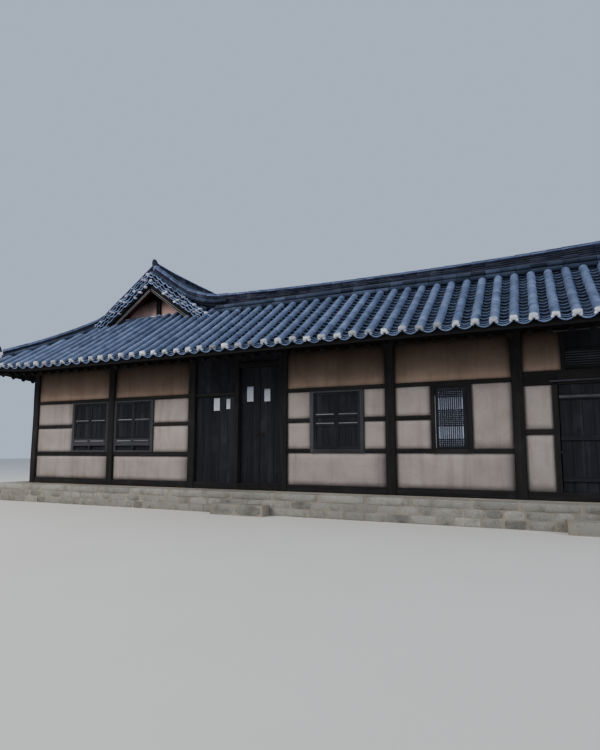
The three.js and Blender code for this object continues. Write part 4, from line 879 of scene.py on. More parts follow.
def slopes() -> list[Slope]:
    """The six slopes of the L-shaped roof."""
    long = 2 * EAVE_X
    verge_u = long - RANGE_VERGE
    inner_u = long - RANGE_GABLE - GABLE_WALL - GABLE_CLEAR
    lap, clear = HIP_LAP, HIP_CLEAR
    back = EAVE_X - WING_EAST_EAVE
    east = EAVE_Y - RANGE_BACK_EAVE
    foot = WING_VERGE - EAVE_Y - RANGE_BACK_EAVE
    west = 2 * EAVE_Y
    wide = 2 * WING_HALF
    half, gable = RANGE_HALF, RANGE_GABLE
    return [
        Slope(
            "front_roof",
            ((0, 0), (long, 0), (verge_u, RANGE_VERGE), (verge_u, half), (half, half)),
            ((lap, 0), (long - lap, 0), (long - lap - gable, gable), (inner_u, gable), (inner_u, half),
             (half + lap, half)),
            Turn(-EAVE_X, -EAVE_Y, 0), long, long, half, phase=FRONT_PHASE, ridge_from=RIDGE_FROM,
        ),
        Slope(
            "range_end_roof",
            ((0, 0), (2 * half, 0), (2 * half - gable, gable), (gable, gable)),
            ((clear, 0), (2 * half - clear, 0), (2 * half - gable - clear, gable), (gable + clear, gable)),
            Turn(EAVE_X, -EAVE_Y, 1), 2 * half, 2 * half, gable,
        ),
        Slope(
            "range_back_roof",
            ((0, 0), (back, 0), (back + half, half), (RANGE_VERGE, half), (RANGE_VERGE, RANGE_VERGE)),
            ((lap, 0), (back - lap, 0), (back + half - lap, half), (long - inner_u, half),
             (long - inner_u, gable), (gable + lap, gable)),
            Turn(EAVE_X, RANGE_BACK_EAVE, 2), back, back + half, half, lift_end=False, ridge_from=0.0,
        ),
        Slope(
            "wing_east_roof",
            ((0, 0), (east, 0), (east - WING_VERGE, WING_VERGE), (east - WING_VERGE, WING_HALF),
             (foot, WING_HALF), (foot, WING_VERGE), (-half, half)),
            ((clear, 0), (east - clear, 0), (east - clear - half, half), (clear, half)),
            Turn(WING_EAST_EAVE, RANGE_BACK_EAVE, 1), east, east, WING_HALF, lift_start=False, phase=0.0,
        ),
        Slope(
            "wing_back_roof",
            ((0, 0), (wide, 0), (wide - half, half), (half, half)),
            ((lap, 0), (wide - lap, 0), (wide - half - lap, half), (half + lap, half)),
            Turn(WING_EAST_EAVE, EAVE_Y, 2), wide, wide, half,
        ),
        Slope(
            "wing_west_roof",
            ((0, 0), (west, 0), (west - WING_VERGE, WING_VERGE), (west - WING_VERGE, WING_HALF),
             (WING_VERGE, WING_HALF), (WING_VERGE, WING_VERGE)),
            ((clear, 0), (west - clear, 0), (west - clear - half, half), (half + clear, half)),
            Turn(-EAVE_X, EAVE_Y, 3), west, west, WING_HALF,
        ),
    ]


@dataclass
class RoofTiles:
    """Stepped concave tiles, convex tiles over their joints, and lime plugs at the eave."""

    slope: Slope
    seed: int
    pitch: float = 0.32
    margin: float = 0.05
    overhang: float = 0.07
    under_reach: float = 0.06
    valley_gap: float = 0.1
    ridge_gap: float = 0.34
    segments: int = 8
    tone_swing: float = 0.03
    trough_half: float = 0.138
    trough_sag: float = 0.07
    trough_step: float = 0.15
    # Painted shade: the bodies of the concave tiles are toned near black.
    trough_shade_tone: float = -0.02
    tile_thick: float = 0.02
    rim: float = 0.008
    lap: float = 0.012
    settle: float = 0.004
    lip_step: float = 0.04
    lip_drops: tuple[float, ...] = (-0.042, -0.022)
    # Painted highlights: the tile lips and the strip just behind them are toned pale.
    rim_highlight_tones: Span = (0.6, 1.2)
    front_highlight_tone: float = 0.1
    sway: float = 0.003
    drift: float = 0.0025
    lean: float = 0.002
    shortest: float = 0.03
    cover_half: float = 0.084
    cover_height: float = 0.076
    cover_step: float = 0.252
    cover_bed: float = 0.045
    cover_lap: float = 0.02
    cover_taper: tuple[float, ...] = (0.84, 1.0, 1.0, 0.95)
    cover_tone: float = 0.56
    # Painted light on each convex tile: the outer rim of its front end pale, the inner edge of that end dark.
    cover_ring_light_tones: tuple[float, ...] = (-0.2, 0.12, 0.02, -0.04)
    cover_swing: float = 0.05
    cover_back: float = 0.015
    # Painted highlight along the crown of each convex tile and painted shade on its sides.
    crown_highlight_tone: float = 0.16
    side_shade_tone: float = 0.06
    plug_tone: Span = (0.52, 0.2)
    plug_swing: float = 0.08
    plug_lean: float = 0.005
    plug_reach: float = 0.03
    plug_lumps: tuple[tuple[float, float, Point], ...] = (
        (0.0, 0.078, (0.146, 0.08, 0.086)),
        (-0.046, 0.036, (0.062, 0.075, 0.07)),
        (0.046, 0.036, (0.062, 0.075, 0.07)),
    )

    def columns(self) -> np.ndarray:
        """Places along the eave of the convex columns."""
        places = [u for u, _ in self.slope.outline]
        phase = self.slope.phase
        if phase is None:
            phase = (self.slope.eave % self.pitch) / 2
        first = math.ceil((min(places) + self.margin - phase) / self.pitch)
        last = math.floor((max(places) - self.margin - phase) / self.pitch)
        return phase + self.pitch * np.arange(first, last + 1)

    def stretch(self, u: float, overhang: float) -> Span | None:
        """Stretch of one column of tiles, from its eave or valley to its top."""
        reach = self.slope.reach(u)
        if reach is None:
            return None
        low, high = reach
        low = -overhang if low < TINY else low + self.valley_gap
        return (low, high) if high - low > self.trough_step else None

    def troughs(self, pile: Pile) -> None:
        """Concave tiles, each lapped over the one below it."""
        share = np.linspace(-1.0, 1.0, self.segments + 1)
        dish = self.trough_sag * share ** 2
        columns = self.columns()
        for u in np.append(columns - self.pitch / 2, columns[-1] + self.pitch / 2):
            stretch = self.stretch(float(u), self.overhang)
            if stretch is None:
                continue
            low, high = stretch
            lips = len(self.lip_drops) if low < 0 else 0
            first = low + self.lip_step * np.arange(lips)
            rest = np.arange(low + self.lip_step * lips, high - self.shortest, self.trough_step)
            edges = np.concatenate([first, rest, [high]])
            count = len(edges) - 1
            drop = np.concatenate([self.lip_drops[:lips], np.zeros(count + 1 - lips)])
            front = edges[:-1] + pile.random.normal(0, self.sway, count) * (np.arange(count) > 0)
            across = u + pile.random.normal(0, self.drift, count)
            near = drop[:-1] + pile.random.uniform(0, self.settle, count)
            top = near + self.tile_thick
            tone = pile.random.normal(0, self.tone_swing, count)
            shaded_bed_tone = tone + self.trough_shade_tone
            depths = np.stack([front, front, front + self.rim, edges[1:] + self.lap], 1)[..., None]
            heights = np.stack([near - self.settle, top, top, drop[1:] + self.settle], 1)[..., None]
            # Painted light: pale lip and rim rings, dark bodies in painted shade.
            rim_highlight_tones = [tone + pale for pale in self.rim_highlight_tones]
            tones = np.stack([*rim_highlight_tones, shaded_bed_tone + self.front_highlight_tone, shaded_bed_tone], 1)
            spread = across[:, None, None] + share * self.trough_half
            points = self.slope.lay(spread, depths, heights + dish)
            pile.sheet(points, joined(spread, depths, dish) + pile.offsets(count), tones[..., None])
            if low < 0:
                self.eave_underside(pile, float(across[0]), share, dish)

    def eave_underside(self, pile: Pile, u: float, share: np.ndarray, dish: np.ndarray) -> None:
        """Underside of the lowest concave tile, seen from below the eave, darkened with painted shade."""
        across = u + share * self.trough_half
        depths = np.array([self.under_reach, -self.overhang])[:, None]
        points = self.slope.lay(across, depths, dish + self.lip_drops[0] - self.settle)
        pile.sheet(points[None], joined(across, depths, dish)[None], UNDER_SHADE_TONE)

    def covers(self, pile: Pile) -> None:
        """Convex tiles over the joints of the concave ones."""
        angle = np.linspace(math.pi, 0.0, self.segments + 1)
        taper = np.array(self.cover_taper)[None, :, None]
        twist = np.array([-1, -1, -1, 1])[None, :, None]
        # Painted highlight on the crown, painted shade on the sides.
        crown_light = self.crown_highlight_tone * np.sin(angle) ** 2 - self.side_shade_tone
        for u in self.columns():
            stretch = self.stretch(float(u), self.overhang - self.cover_back)
            if stretch is None:
                continue
            low, high = stretch
            if self.slope.ridge_from is not None and u > self.slope.ridge_from:
                high = min(high, RANGE_HALF - self.ridge_gap)
            if high - low < self.cover_step:
                continue
            edges = np.append(np.arange(low, high - 2 * self.shortest, self.cover_step), high)
            count = len(edges) - 1
            shift = pile.random.normal(0, self.sway, (count, 1, 1))
            tone = self.cover_tone + pile.random.normal(0, self.cover_swing)
            tone = tone + pile.random.normal(0, self.tone_swing, count)
            near, far = edges[:-1], edges[1:]
            depths = np.stack([near, near, near + self.lap, far + self.cover_lap], 1)[..., None]
            lean = pile.random.normal(0, self.lean, (count, 1, 1))
            across = u + shift + np.cos(angle) * self.cover_half * taper + lean * twist
            rise = self.cover_bed + np.sin(angle) * self.cover_height * taper
            grain = joined(np.broadcast_to(angle * self.cover_half, across.shape), depths, rise)
            tones = (tone[:, None] + np.array(self.cover_ring_light_tones))[..., None]
            pile.sheet(self.slope.lay(across, depths, rise), grain + pile.offsets(count), tones + crown_light)

    def plugs(self, pile: Pile) -> None:
        """Lumps of lime that close the convex columns at the eave."""
        for u in self.columns():
            stretch = self.stretch(float(u), self.overhang)
            if stretch is None or stretch[0] > 0:
                continue
            size = pile.random.normal(1.0, self.plug_swing, 3)
            lean = pile.random.normal(0, self.plug_lean, 2)
            tone = pile.pick(*self.plug_tone, low=0.05, high=0.85)
            for across, height, lump in self.plug_lumps:
                place = float(u) + lean[0] + across
                middle = self.slope.lay(place, self.plug_reach - self.overhang, height + lean[1])
                pile.lump(middle, np.array(lump) * size, power=2.5, rough=0.035, steps=4, tone=tone)

    def build(self) -> None:
        """Makes the slope's tiles and plugs."""
        tiles, plugs = Pile(self.seed, self.slope.turn), Pile(self.seed + 50, self.slope.turn)
        self.troughs(tiles)
        self.covers(tiles)
        tiles.make(f"{self.slope.name}_tiles", Surfaces.TILE)
        self.plugs(plugs)
        plugs.make(f"{self.slope.name}_plugs", Surfaces.LIME)


@dataclass
class Valley:
    """Wide concave tiles along the valley between the wing and the range."""

    half: float = 0.3
    step: float = 0.15
    start: float = -0.06
    end: float = RANGE_HALF
    segments: int = 8
    bow: float = 0.08
    rim: float = 0.01
    tone: Span = (0.45, 0.08)
    rises: tuple[float, ...] = (0.0, 0.035, 0.035, 0.012)
    # Painted light: each valley tile's lip toned pale, the face below it and its back end darker.
    tones: tuple[float, ...] = (-0.1, 0.3, 0.0, -0.15)

    def build(self) -> None:
        """Makes the valley's tiles."""
        pile = Pile(70)
        share = np.linspace(-1.0, 1.0, self.segments + 1)
        front = np.arange(self.start, self.end, self.step)
        depths = np.stack([front, front, front + self.rim, front + self.step + self.rim], 1)[..., None]
        d, t = np.broadcast_arrays(depths, share * self.half)
        flat = np.sqrt(t ** 2 + self.bow ** 2) / math.sqrt(2)
        x = WING_EAST_EAVE - d + t / math.sqrt(2)
        y = RANGE_BACK_EAVE - d - t / math.sqrt(2)
        points = joined(x, y, roof_top(d + flat) + np.array(self.rises)[None, :, None])
        grain = joined(t, d, t) + pile.offsets(len(front))
        tone = self.tone[0] + pile.random.normal(0, self.tone[1], (len(front), 1, 1))
        tone = tone + np.array(self.tones)[None, :, None]
        pile.sheet(points, grain, tone)
        pile.make("valley_tiles", Surfaces.TILE)


@dataclass
class Rafters:
    """Round rafters of one slope and the eave boards that tie their ends."""

    slope: Slope
    seed: int
    node: str
    beams: tuple[tuple[Span, Span, float, bool], ...] = ()
    spacing: float = 0.32
    radius: float = 0.055
    swell: Span = (0.94, 1.0)
    shortest: float = 0.1
    log_clear: float = 0.001
    foot: float = 0.2
    head_gap: float = 0.02
    board_reach: Span = (0.16, 0.3)
    board: Span = (0.15, 0.03)
    board_rise: float = 0.0205
    face_at: float = -0.012
    face: Span = (0.02, 0.125)
    face_rise: float = 0.19
    beam: Span = (0.175, 0.145)
    beam_ends: Span = (0.14, 0.16)
    beam_drops: Span = (0.005, 0.055)
    beam_tall: Span = (0.11, 0.15)
    beam_swell: float = 0.5
    clear: float = 0.002

    def logs(self, pile: Pile) -> None:
        """Logs from the eave to the ridge, cut short where they meet a hip."""
        count = round(self.slope.rafter_span / self.spacing)
        head = min(self.slope.depth, RANGE_HALF) - self.head_gap
        for i in range(count):
            u = (i + 0.5) * self.slope.rafter_span / count
            reach = self.slope.reach(u, self.slope.rafter_outline)
            if reach is None:
                continue
            low, high = max(self.foot, reach[0]), min(head, reach[1])
            if high - low < self.shortest:
                continue
            lift = float(min(self.slope.lift(u - self.radius), self.slope.lift(u + self.radius)))
            drop = self.radius * math.hypot(1, LOWER_PITCH) + self.log_clear
            ends = [(u, d, float(roof_under(d)) + lift - drop) for d in (low, high)]
            radius = self.radius * pile.random.uniform(*self.swell)
            pile.rod(*ends, radius, sides=14, taper=0.97, stations=4)

    def eave_path(self, d: float, rise: float) -> np.ndarray:
        """Line along the eave at one distance from it, between its hips."""
        ends = [u for u, low in self.slope.rafter_outline if low == 0]
        left = min(ends) + (d if self.slope.lift_start else -d)
        right = max(ends) - (d if self.slope.lift_end else -d)
        u = np.linspace(left, right, max(3, int((right - left) / 0.3)))
        return joined(u, d, self.slope.under(u, np.full_like(u, d)) + rise)

    def eave_board(self, pile: Pile) -> None:
        """Curved board over the rafter ends and the face board that carries the tiles."""
        pile.run(self.eave_path(sum(self.board_reach) / 2, self.board_rise), (0, 1, 0.66), *self.board)
        pile.run(self.eave_path(self.face_at, self.face_rise), (0, 1, 0), *self.face)

    def hip_beams(self, pile: Pile) -> None:
        """Deep hewn beams under the hips and the valley."""
        start, end = self.beam_ends
        thin, thick = self.beam_tall
        for corner, way, reach, lifted in self.beams:
            path = []
            for d in np.linspace(start, reach - end, 8):
                top = float(roof_under(d)) + (corner_lift(d) if lifted else 0.0) - self.beam_drops[lifted]
                tall = thin + (thick - thin) * min(1.0, (d - start) / self.beam_swell)
                path.append((corner[0] + way[0] * d, corner[1] + way[1] * d, top - tall / 2 - self.clear))
            across = np.array([way[1], -way[0], 0]) / math.sqrt(2)
            pile.run(np.array(path), across, *self.beam, bevel=0.015)

    def build(self) -> None:
        """Makes the slope's rafters in place of its plain node."""
        pile = Pile(self.seed, self.slope.turn)
        self.logs(pile)
        self.eave_board(pile)
        pile.turn = Turn()
        self.hip_beams(pile)
        # Rafters, eave boards and hip beams in near-black painted shade.
        pile.make(f"{self.node}_logs", Surfaces.SHADE_DARK_TIMBER, replaces=[self.node])


@dataclass
class Ridge:
    """A ridge built up of thin tiles in mortar, with round tiles on top.

    Each knot of its line has x, y, the height of the bed and the height of the top. A rail is given by how
    far out, how high and how thick it is, and a shoulder of mortar by its width and its drop below the bed.
    """

    knots: np.ndarray
    width: float = 0.26
    plates: Span = (0.0, 0.0)
    foot: float = 0.1
    lips: tuple[int, ...] = (0,)
    lip_out: float = 0.02
    # The lip course is toned far paler than its clay: a painted highlight.
    lip_course_highlight_tone: float = 3.2
    course: float = 0.042
    tile_thick: float = 0.026
    tile_long: float = 0.3
    mortar_inset: float = 0.018
    core_drop: float = 0.06
    first_drop: float = 0.012
    seam: float = 0.01
    stray: float = 0.0035
    swing: float = 0.003
    cover_radius: float = 0.078
    cover_arc: float = 0.08
    cover_spread: float = 1.12
    cover_swing: Span = (0.012, 0.08)
    cover_tone: float = 0.34
    cover_shares: tuple[float, ...] = (0.0, 0.0, 0.05, 1.04)
    cover_taper: tuple[float, ...] = (0.8, 1.0, 1.0, 0.92)
    # Painted light on each round ridge tile: the outer rim of its front end pale, the inner edge and back
    # darker.
    cover_ring_light_tones: tuple[float, ...] = (-0.1, 0.3, 0.05, -0.05)
    rails: tuple[Point, ...] = ((0.15, 0.035, 0.062),)
    rail_tone: float = 0.2
    rail_gap: float = 0.012
    shoulders: tuple[Span, ...] = ()
    shoulder_tall: float = 0.18
    # Painted light: each end plate's arched rim is toned paler than its foot and back.
    plate_light_tones: tuple[float, ...] = (0.35, 0.75, 0.5, 0.35)
    plate_corners: int = 13
    plate_inset: float = 0.01
    plate_waist: Span = (0.8, 0.2)
    plate_round: float = 0.75
    plate_share: float = 0.72
    plate_lean: Point = (0.03, 0.22, 1.6)
    plate_thick: float = 0.035
    plate_hearts: Span = (0.055, 0.01)
    deepest: float = 0.45
    lime_drop: float = 0.3
    lime_wide: float = 0.95
    lime_tall: Span = (0.1, 0.75)
    lime_out: float = 0.02
    lime_sink: float = 0.05

    def stations(self, step: float) -> tuple[np.ndarray, np.ndarray]:
        """Evenly spaced points on the ridge line and the direction across it at each."""
        leg = np.linalg.norm(np.diff(self.knots[:, :2], axis=0), axis=1)
        along = np.concatenate([[0.0], np.cumsum(leg)])
        count = max(2, round(along[-1] / step) + 1)
        places = np.linspace(0.0, along[-1], count)
        points = np.stack([np.interp(places, along, self.knots[:, i]) for i in range(4)], -1)
        ways = np.gradient(points[:, :2], axis=0)
        ways /= np.linalg.norm(ways, axis=1, keepdims=True)
        return points, joined(ways[:, 1], -ways[:, 0], 0.0)

    def core(self, pile: Pile) -> None:
        """Mortar heart of the stack, from the roof up to the round tiles, and the mortar under its rails."""
        points, across = self.stations(self.tile_long / 2)
        low, high = points[:, 2] - self.core_drop, points[:, 3] - self.cover_radius
        path = raised(points, (low + high) / 2)
        pile.run(path, across, self.width - self.mortar_inset, high - low, bevel=0.001, wobble=0.003)
        for width, drop in self.shoulders:
            bed = raised(points, points[:, 2] - drop)
            pile.run(bed, across, width, self.shoulder_tall, bevel=0.02, wobble=0.002)

    def courses(self, pile: Pile) -> None:
        """Thin tiles that stand out of the mortar, one course over another."""
        points, across = self.stations(self.tile_long)
        deepest = float(np.max(points[:, 3] - points[:, 2])) - self.cover_radius - self.foot
        shares = np.array([self.seam, 1 - self.seam])[:, None]
        for level in range(max(1, math.ceil(deepest / self.course))):
            drop = self.cover_radius + self.first_drop + level * self.course
            lip = level in self.lips
            for i, (first, last) in enumerate(zip(points[:-1], points[1:])):
                if min(first[3], last[3]) - drop < min(first[2], last[2]) + self.foot / 2:
                    continue
                ends = first + (last - first) * shares
                path = raised(ends, ends[:, 3] - drop)
                path[:, :2] += across[i, :2] * pile.random.normal(0, self.stray)
                width = self.width + (2 * self.lip_out if lip else 0.0) + pile.random.normal(0, self.swing)
                # Painted highlight on the lip course.
                tone = self.lip_course_highlight_tone if lip else pile.pick(middle=0.45, swing=0.16, low=0.1, high=1.0)
                pile.run(path, across[i:i + 2], width, self.tile_thick, tone=tone)

    def covers(self, pile: Pile) -> None:
        """Round tiles along the top, each lapped over the next."""
        points, across = self.stations(self.tile_long)
        angle = np.linspace(math.pi, 0.0, 9)
        shares = np.array(self.cover_shares)[:, None]
        for first, last, side in zip(points[:-1], points[1:], across):
            middle = first + (last - first) * shares
            radius = self.cover_radius * np.array(self.cover_taper)
            radius = radius * pile.random.normal(1.0, self.cover_swing[0])
            spread = np.cos(angle)[None, :, None] * radius[:, None, None] * self.cover_spread
            rise = np.sin(angle)[None] * radius[:, None]
            grid = raised(middle, middle[:, 3] - self.cover_radius)[:, None] + spread * side
            grid[..., 2] += rise
            grain = joined(angle[None] * self.cover_arc, shares * self.tile_long, rise) + pile.offset()
            tone = pile.random.normal(self.cover_tone, self.cover_swing[1])
            # Painted highlight on the front rim, painted shade on the inner edge.
            tone = tone + np.array(self.cover_ring_light_tones)[:, None]
            pile.sheet(grid[None], grain[None], tone[None])

    def foot_row(self, pile: Pile) -> None:
        """Rows of round tiles laid along both sides of the foot of the stack."""
        points, across = self.stations(self.tile_long)
        gaps = np.diff(points[:, :3], axis=0) * (self.rail_gap, self.rail_gap, 0.0)
        for side in (-1, 1):
            for out, rise, radius in self.rails:
                line = raised(points, points[:, 2] + rise) + across * side * out
                for first, last, gap in zip(line[:-1], line[1:], gaps):
                    tone = pile.pick(self.rail_tone, swing=0.06, low=0.05, high=0.9)
                    pile.rod(first + gap, last - gap, radius, sides=12, stations=2, taper=0.96, tone=tone)

    def plate(self, pile: Pile, lime: Pile, last: bool, tall: float) -> None:
        """Plain arched tile that closes one end, on a bed of lime."""
        points, across = self.stations(0.1)
        near, inner = (points[-1], points[-3]) if last else (points[0], points[2])
        side = across[-1 if last else 0]
        out = (near - inner)[:3] * (1, 1, 0)
        out /= np.linalg.norm(out)
        angle = np.linspace(0.0, math.pi, self.plate_corners)
        thin, swell = self.plate_waist
        spread = np.cos(angle) * (self.width / 2 - self.plate_inset) * (thin + swell * np.sin(angle))
        rise = (np.sin(angle) ** self.plate_round * tall)[:, None]
        foot = np.array([near[0], near[1], near[3] - tall * self.plate_share])
        rim = foot + spread[:, None] * side + rise * (0, 0, 1)
        least, most, power = self.plate_lean
        lean = out * (least + most * (rise / tall) ** power * tall)
        front, back = (np.broadcast_to(foot + out * depth, rim.shape) for depth in self.plate_hearts)
        rows = np.stack([front, rim + lean + out * self.plate_thick, rim + lean * 0.96, back])
        pile.sheet(rows[None], (rows + pile.offset())[None], np.array(self.plate_light_tones)[None, :, None])
        low = near[2] if near[2] > near[3] - self.deepest else near[3] - self.lime_drop
        wide = self.width * self.lime_wide
        height = max(self.lime_tall[0], near[3] - low) * self.lime_tall[1]
        middle = np.array([near[0], near[1], (near[3] + low) / 2 - self.lime_sink]) + out * self.lime_out
        lime.lump(middle, (wide, wide, height), power=3.2, rough=0.03, steps=5, tone=0.42)

    def build(self, tiles: Pile, stack: Pile, mortar: Pile, lime: Pile) -> None:
        """Adds the whole ridge to the piles."""
        self.core(mortar)
        self.courses(stack)
        self.covers(tiles)
        self.foot_row(tiles)
        for last, tall in zip((False, True), self.plates):
            if tall:
                self.plate(stack, lime, last, tall)


@dataclass
class Ridges:
    """Every ridge of the house."""

    range_low: float = 5.54
    range_rise: float = 0.11
    range_ends: Span = (-2.299, 7.36)
    range_rails: tuple[Point, ...] = ((0.355, -0.15, 0.062), (0.235, -0.005, 0.055))
    range_shoulders: tuple[Span, ...] = ((0.6, 0.2), (0.46, 0.02))
    wing_top: float = 6.73
    wing_rise: float = 0.05
    wing_end: float = 2.59
    bed_rise: float = 0.01
    verge_inset: float = 0.2
    verge_rise: float = 0.35
    hip_rise: float = 0.24
    tip_inset: float = 0.35
    tip_rise: float = 0.06
    small: float = 0.22
    small_plate: float = 0.26
    flow_deep: float = 0.3
    flow_tops: tuple[Point, ...] = (
        (-4.35, -2.65, 6.69), (-4.10, -2.65, 6.51), (-3.77, -2.65, 6.27), (-3.43, -2.65, 6.02),
        (-3.09, -2.63, 5.80), (-2.66, -2.55, 5.67), (-2.31, -2.47, 5.63), (-2.05, -2.40, 5.65),
    )

    def long_ridge(self) -> np.ndarray:
        """Line of the range's sagging ridge."""
        sag = np.linspace(-1.0, 1.0, 40) ** 2
        bed = float(roof_top(RANGE_HALF)) + self.bed_rise
        x = np.linspace(*self.range_ends, len(sag))
        return joined(x, RANGE_RIDGE_Y, bed, self.range_low + self.range_rise * sag)

    def wing_ridge(self) -> np.ndarray:
        """Line of the wing's ridge, turned up at both ends."""
        rise = self.wing_rise * np.linspace(-1.0, 1.0, 24) ** 4
        bed = float(roof_top(WING_HALF)) + self.bed_rise
        y = np.linspace(-self.wing_end, self.wing_end, len(rise))
        return joined(WING_RIDGE_X, y, bed, self.wing_top + rise)

    def flow(self) -> np.ndarray:
        """Line of the ridge that falls from the wing's ridge into the long one."""
        return np.array([(x, y, top - self.flow_deep, top) for x, y, top in self.flow_tops])

    def corner(self, start: Span, bend: Span, corner: Span, half: float) -> Ridge:
        """Ridge that falls along a verge and runs out along a hip.

        Args:
            start: plan point at the ridge.
            bend: plan point where the verge meets the hip.
            corner: plan corner of the eaves.
            half: distance from the ridge to the eave below it.

        Returns:
            The ridge, with a plate at its foot.
        """
        rows = []
        fall = math.dist(start, bend)
        for share in np.linspace(0.0, 1.0, 12, endpoint=False):
            x, y = np.array(start) + (np.array(bend) - np.array(start)) * share
            bed = float(roof_top(half - fall * share))
            rows.append((x, y, bed, bed + self.verge_rise))
        reach = abs(corner[0] - bend[0])
        for share in np.linspace(0.0, 1.0, 12):
            d = reach + (self.tip_inset - reach) * share
            x = corner[0] + math.copysign(d, bend[0] - corner[0])
            y = corner[1] + math.copysign(d, bend[1] - corner[1])
            bed = float(roof_top(d)) + corner_lift(d)
            swell = self.tip_rise * share ** 2 + (self.verge_rise - self.hip_rise) * (1 - share) ** 2
            rows.append((x, y, bed, bed + self.hip_rise + swell))
        return Ridge(np.array(rows), self.small, (0.0, self.small_plate))

    def build(self) -> None:
        """Makes the wing's and the range's ridges in place of their plain nodes."""
        wing_y = EAVE_Y - WING_VERGE - self.verge_inset
        wing_x = WING_HALF - WING_VERGE - self.verge_inset
        west, east = WING_RIDGE_X - wing_x, WING_RIDGE_X + wing_x
        end_x = EAVE_X - RANGE_VERGE - self.verge_inset
        end_y = RANGE_HALF - RANGE_VERGE - self.verge_inset
        wing_corners = (
            (west, -wing_y, (-EAVE_X, -EAVE_Y)), (west, wing_y, (-EAVE_X, EAVE_Y)),
            (east, wing_y, (WING_EAST_EAVE, EAVE_Y)),
        )
        range_corners = (
            (RANGE_RIDGE_Y - end_y, (EAVE_X, -EAVE_Y)), (RANGE_RIDGE_Y + end_y, (EAVE_X, RANGE_BACK_EAVE)),
        )
        groups = {
            "wing": [
                Ridge(self.wing_ridge(), plates=(0.3, 0.3)),
                *(self.corner((WING_RIDGE_X, y), (x, y), corner, WING_HALF) for x, y, corner in wing_corners),
                Ridge(self.flow(), self.small, foot=0.06, lips=(0, 3)),
            ],
            "range": [
                Ridge(self.long_ridge(), plates=(0.0, 0.34), rails=self.range_rails, rail_tone=0.19,
                      shoulders=self.range_shoulders),
                *(self.corner((end_x, RANGE_RIDGE_Y), (end_x, y), corner, RANGE_HALF)
                  for y, corner in range_corners),
            ],
        }
        for number, (name, ridges) in enumerate(groups.items()):
            tiles, stack, mortar, lime = (Pile(80 + number * 4 + i) for i in range(4))
            for ridge in ridges:
                ridge.build(tiles, stack, mortar, lime)
            tiles.make(f"{name}_ridge_tiles", Surfaces.TILE, slot="ridge_tile", replaces=[f"{name}_ridges"])
            stack.make(f"{name}_ridge_courses", Surfaces.RIDGE)
            mortar.make(f"{name}_ridge_mortar", Surfaces.MORTAR)
            lime.make(f"{name}_ridge_lime", Surfaces.LIME)


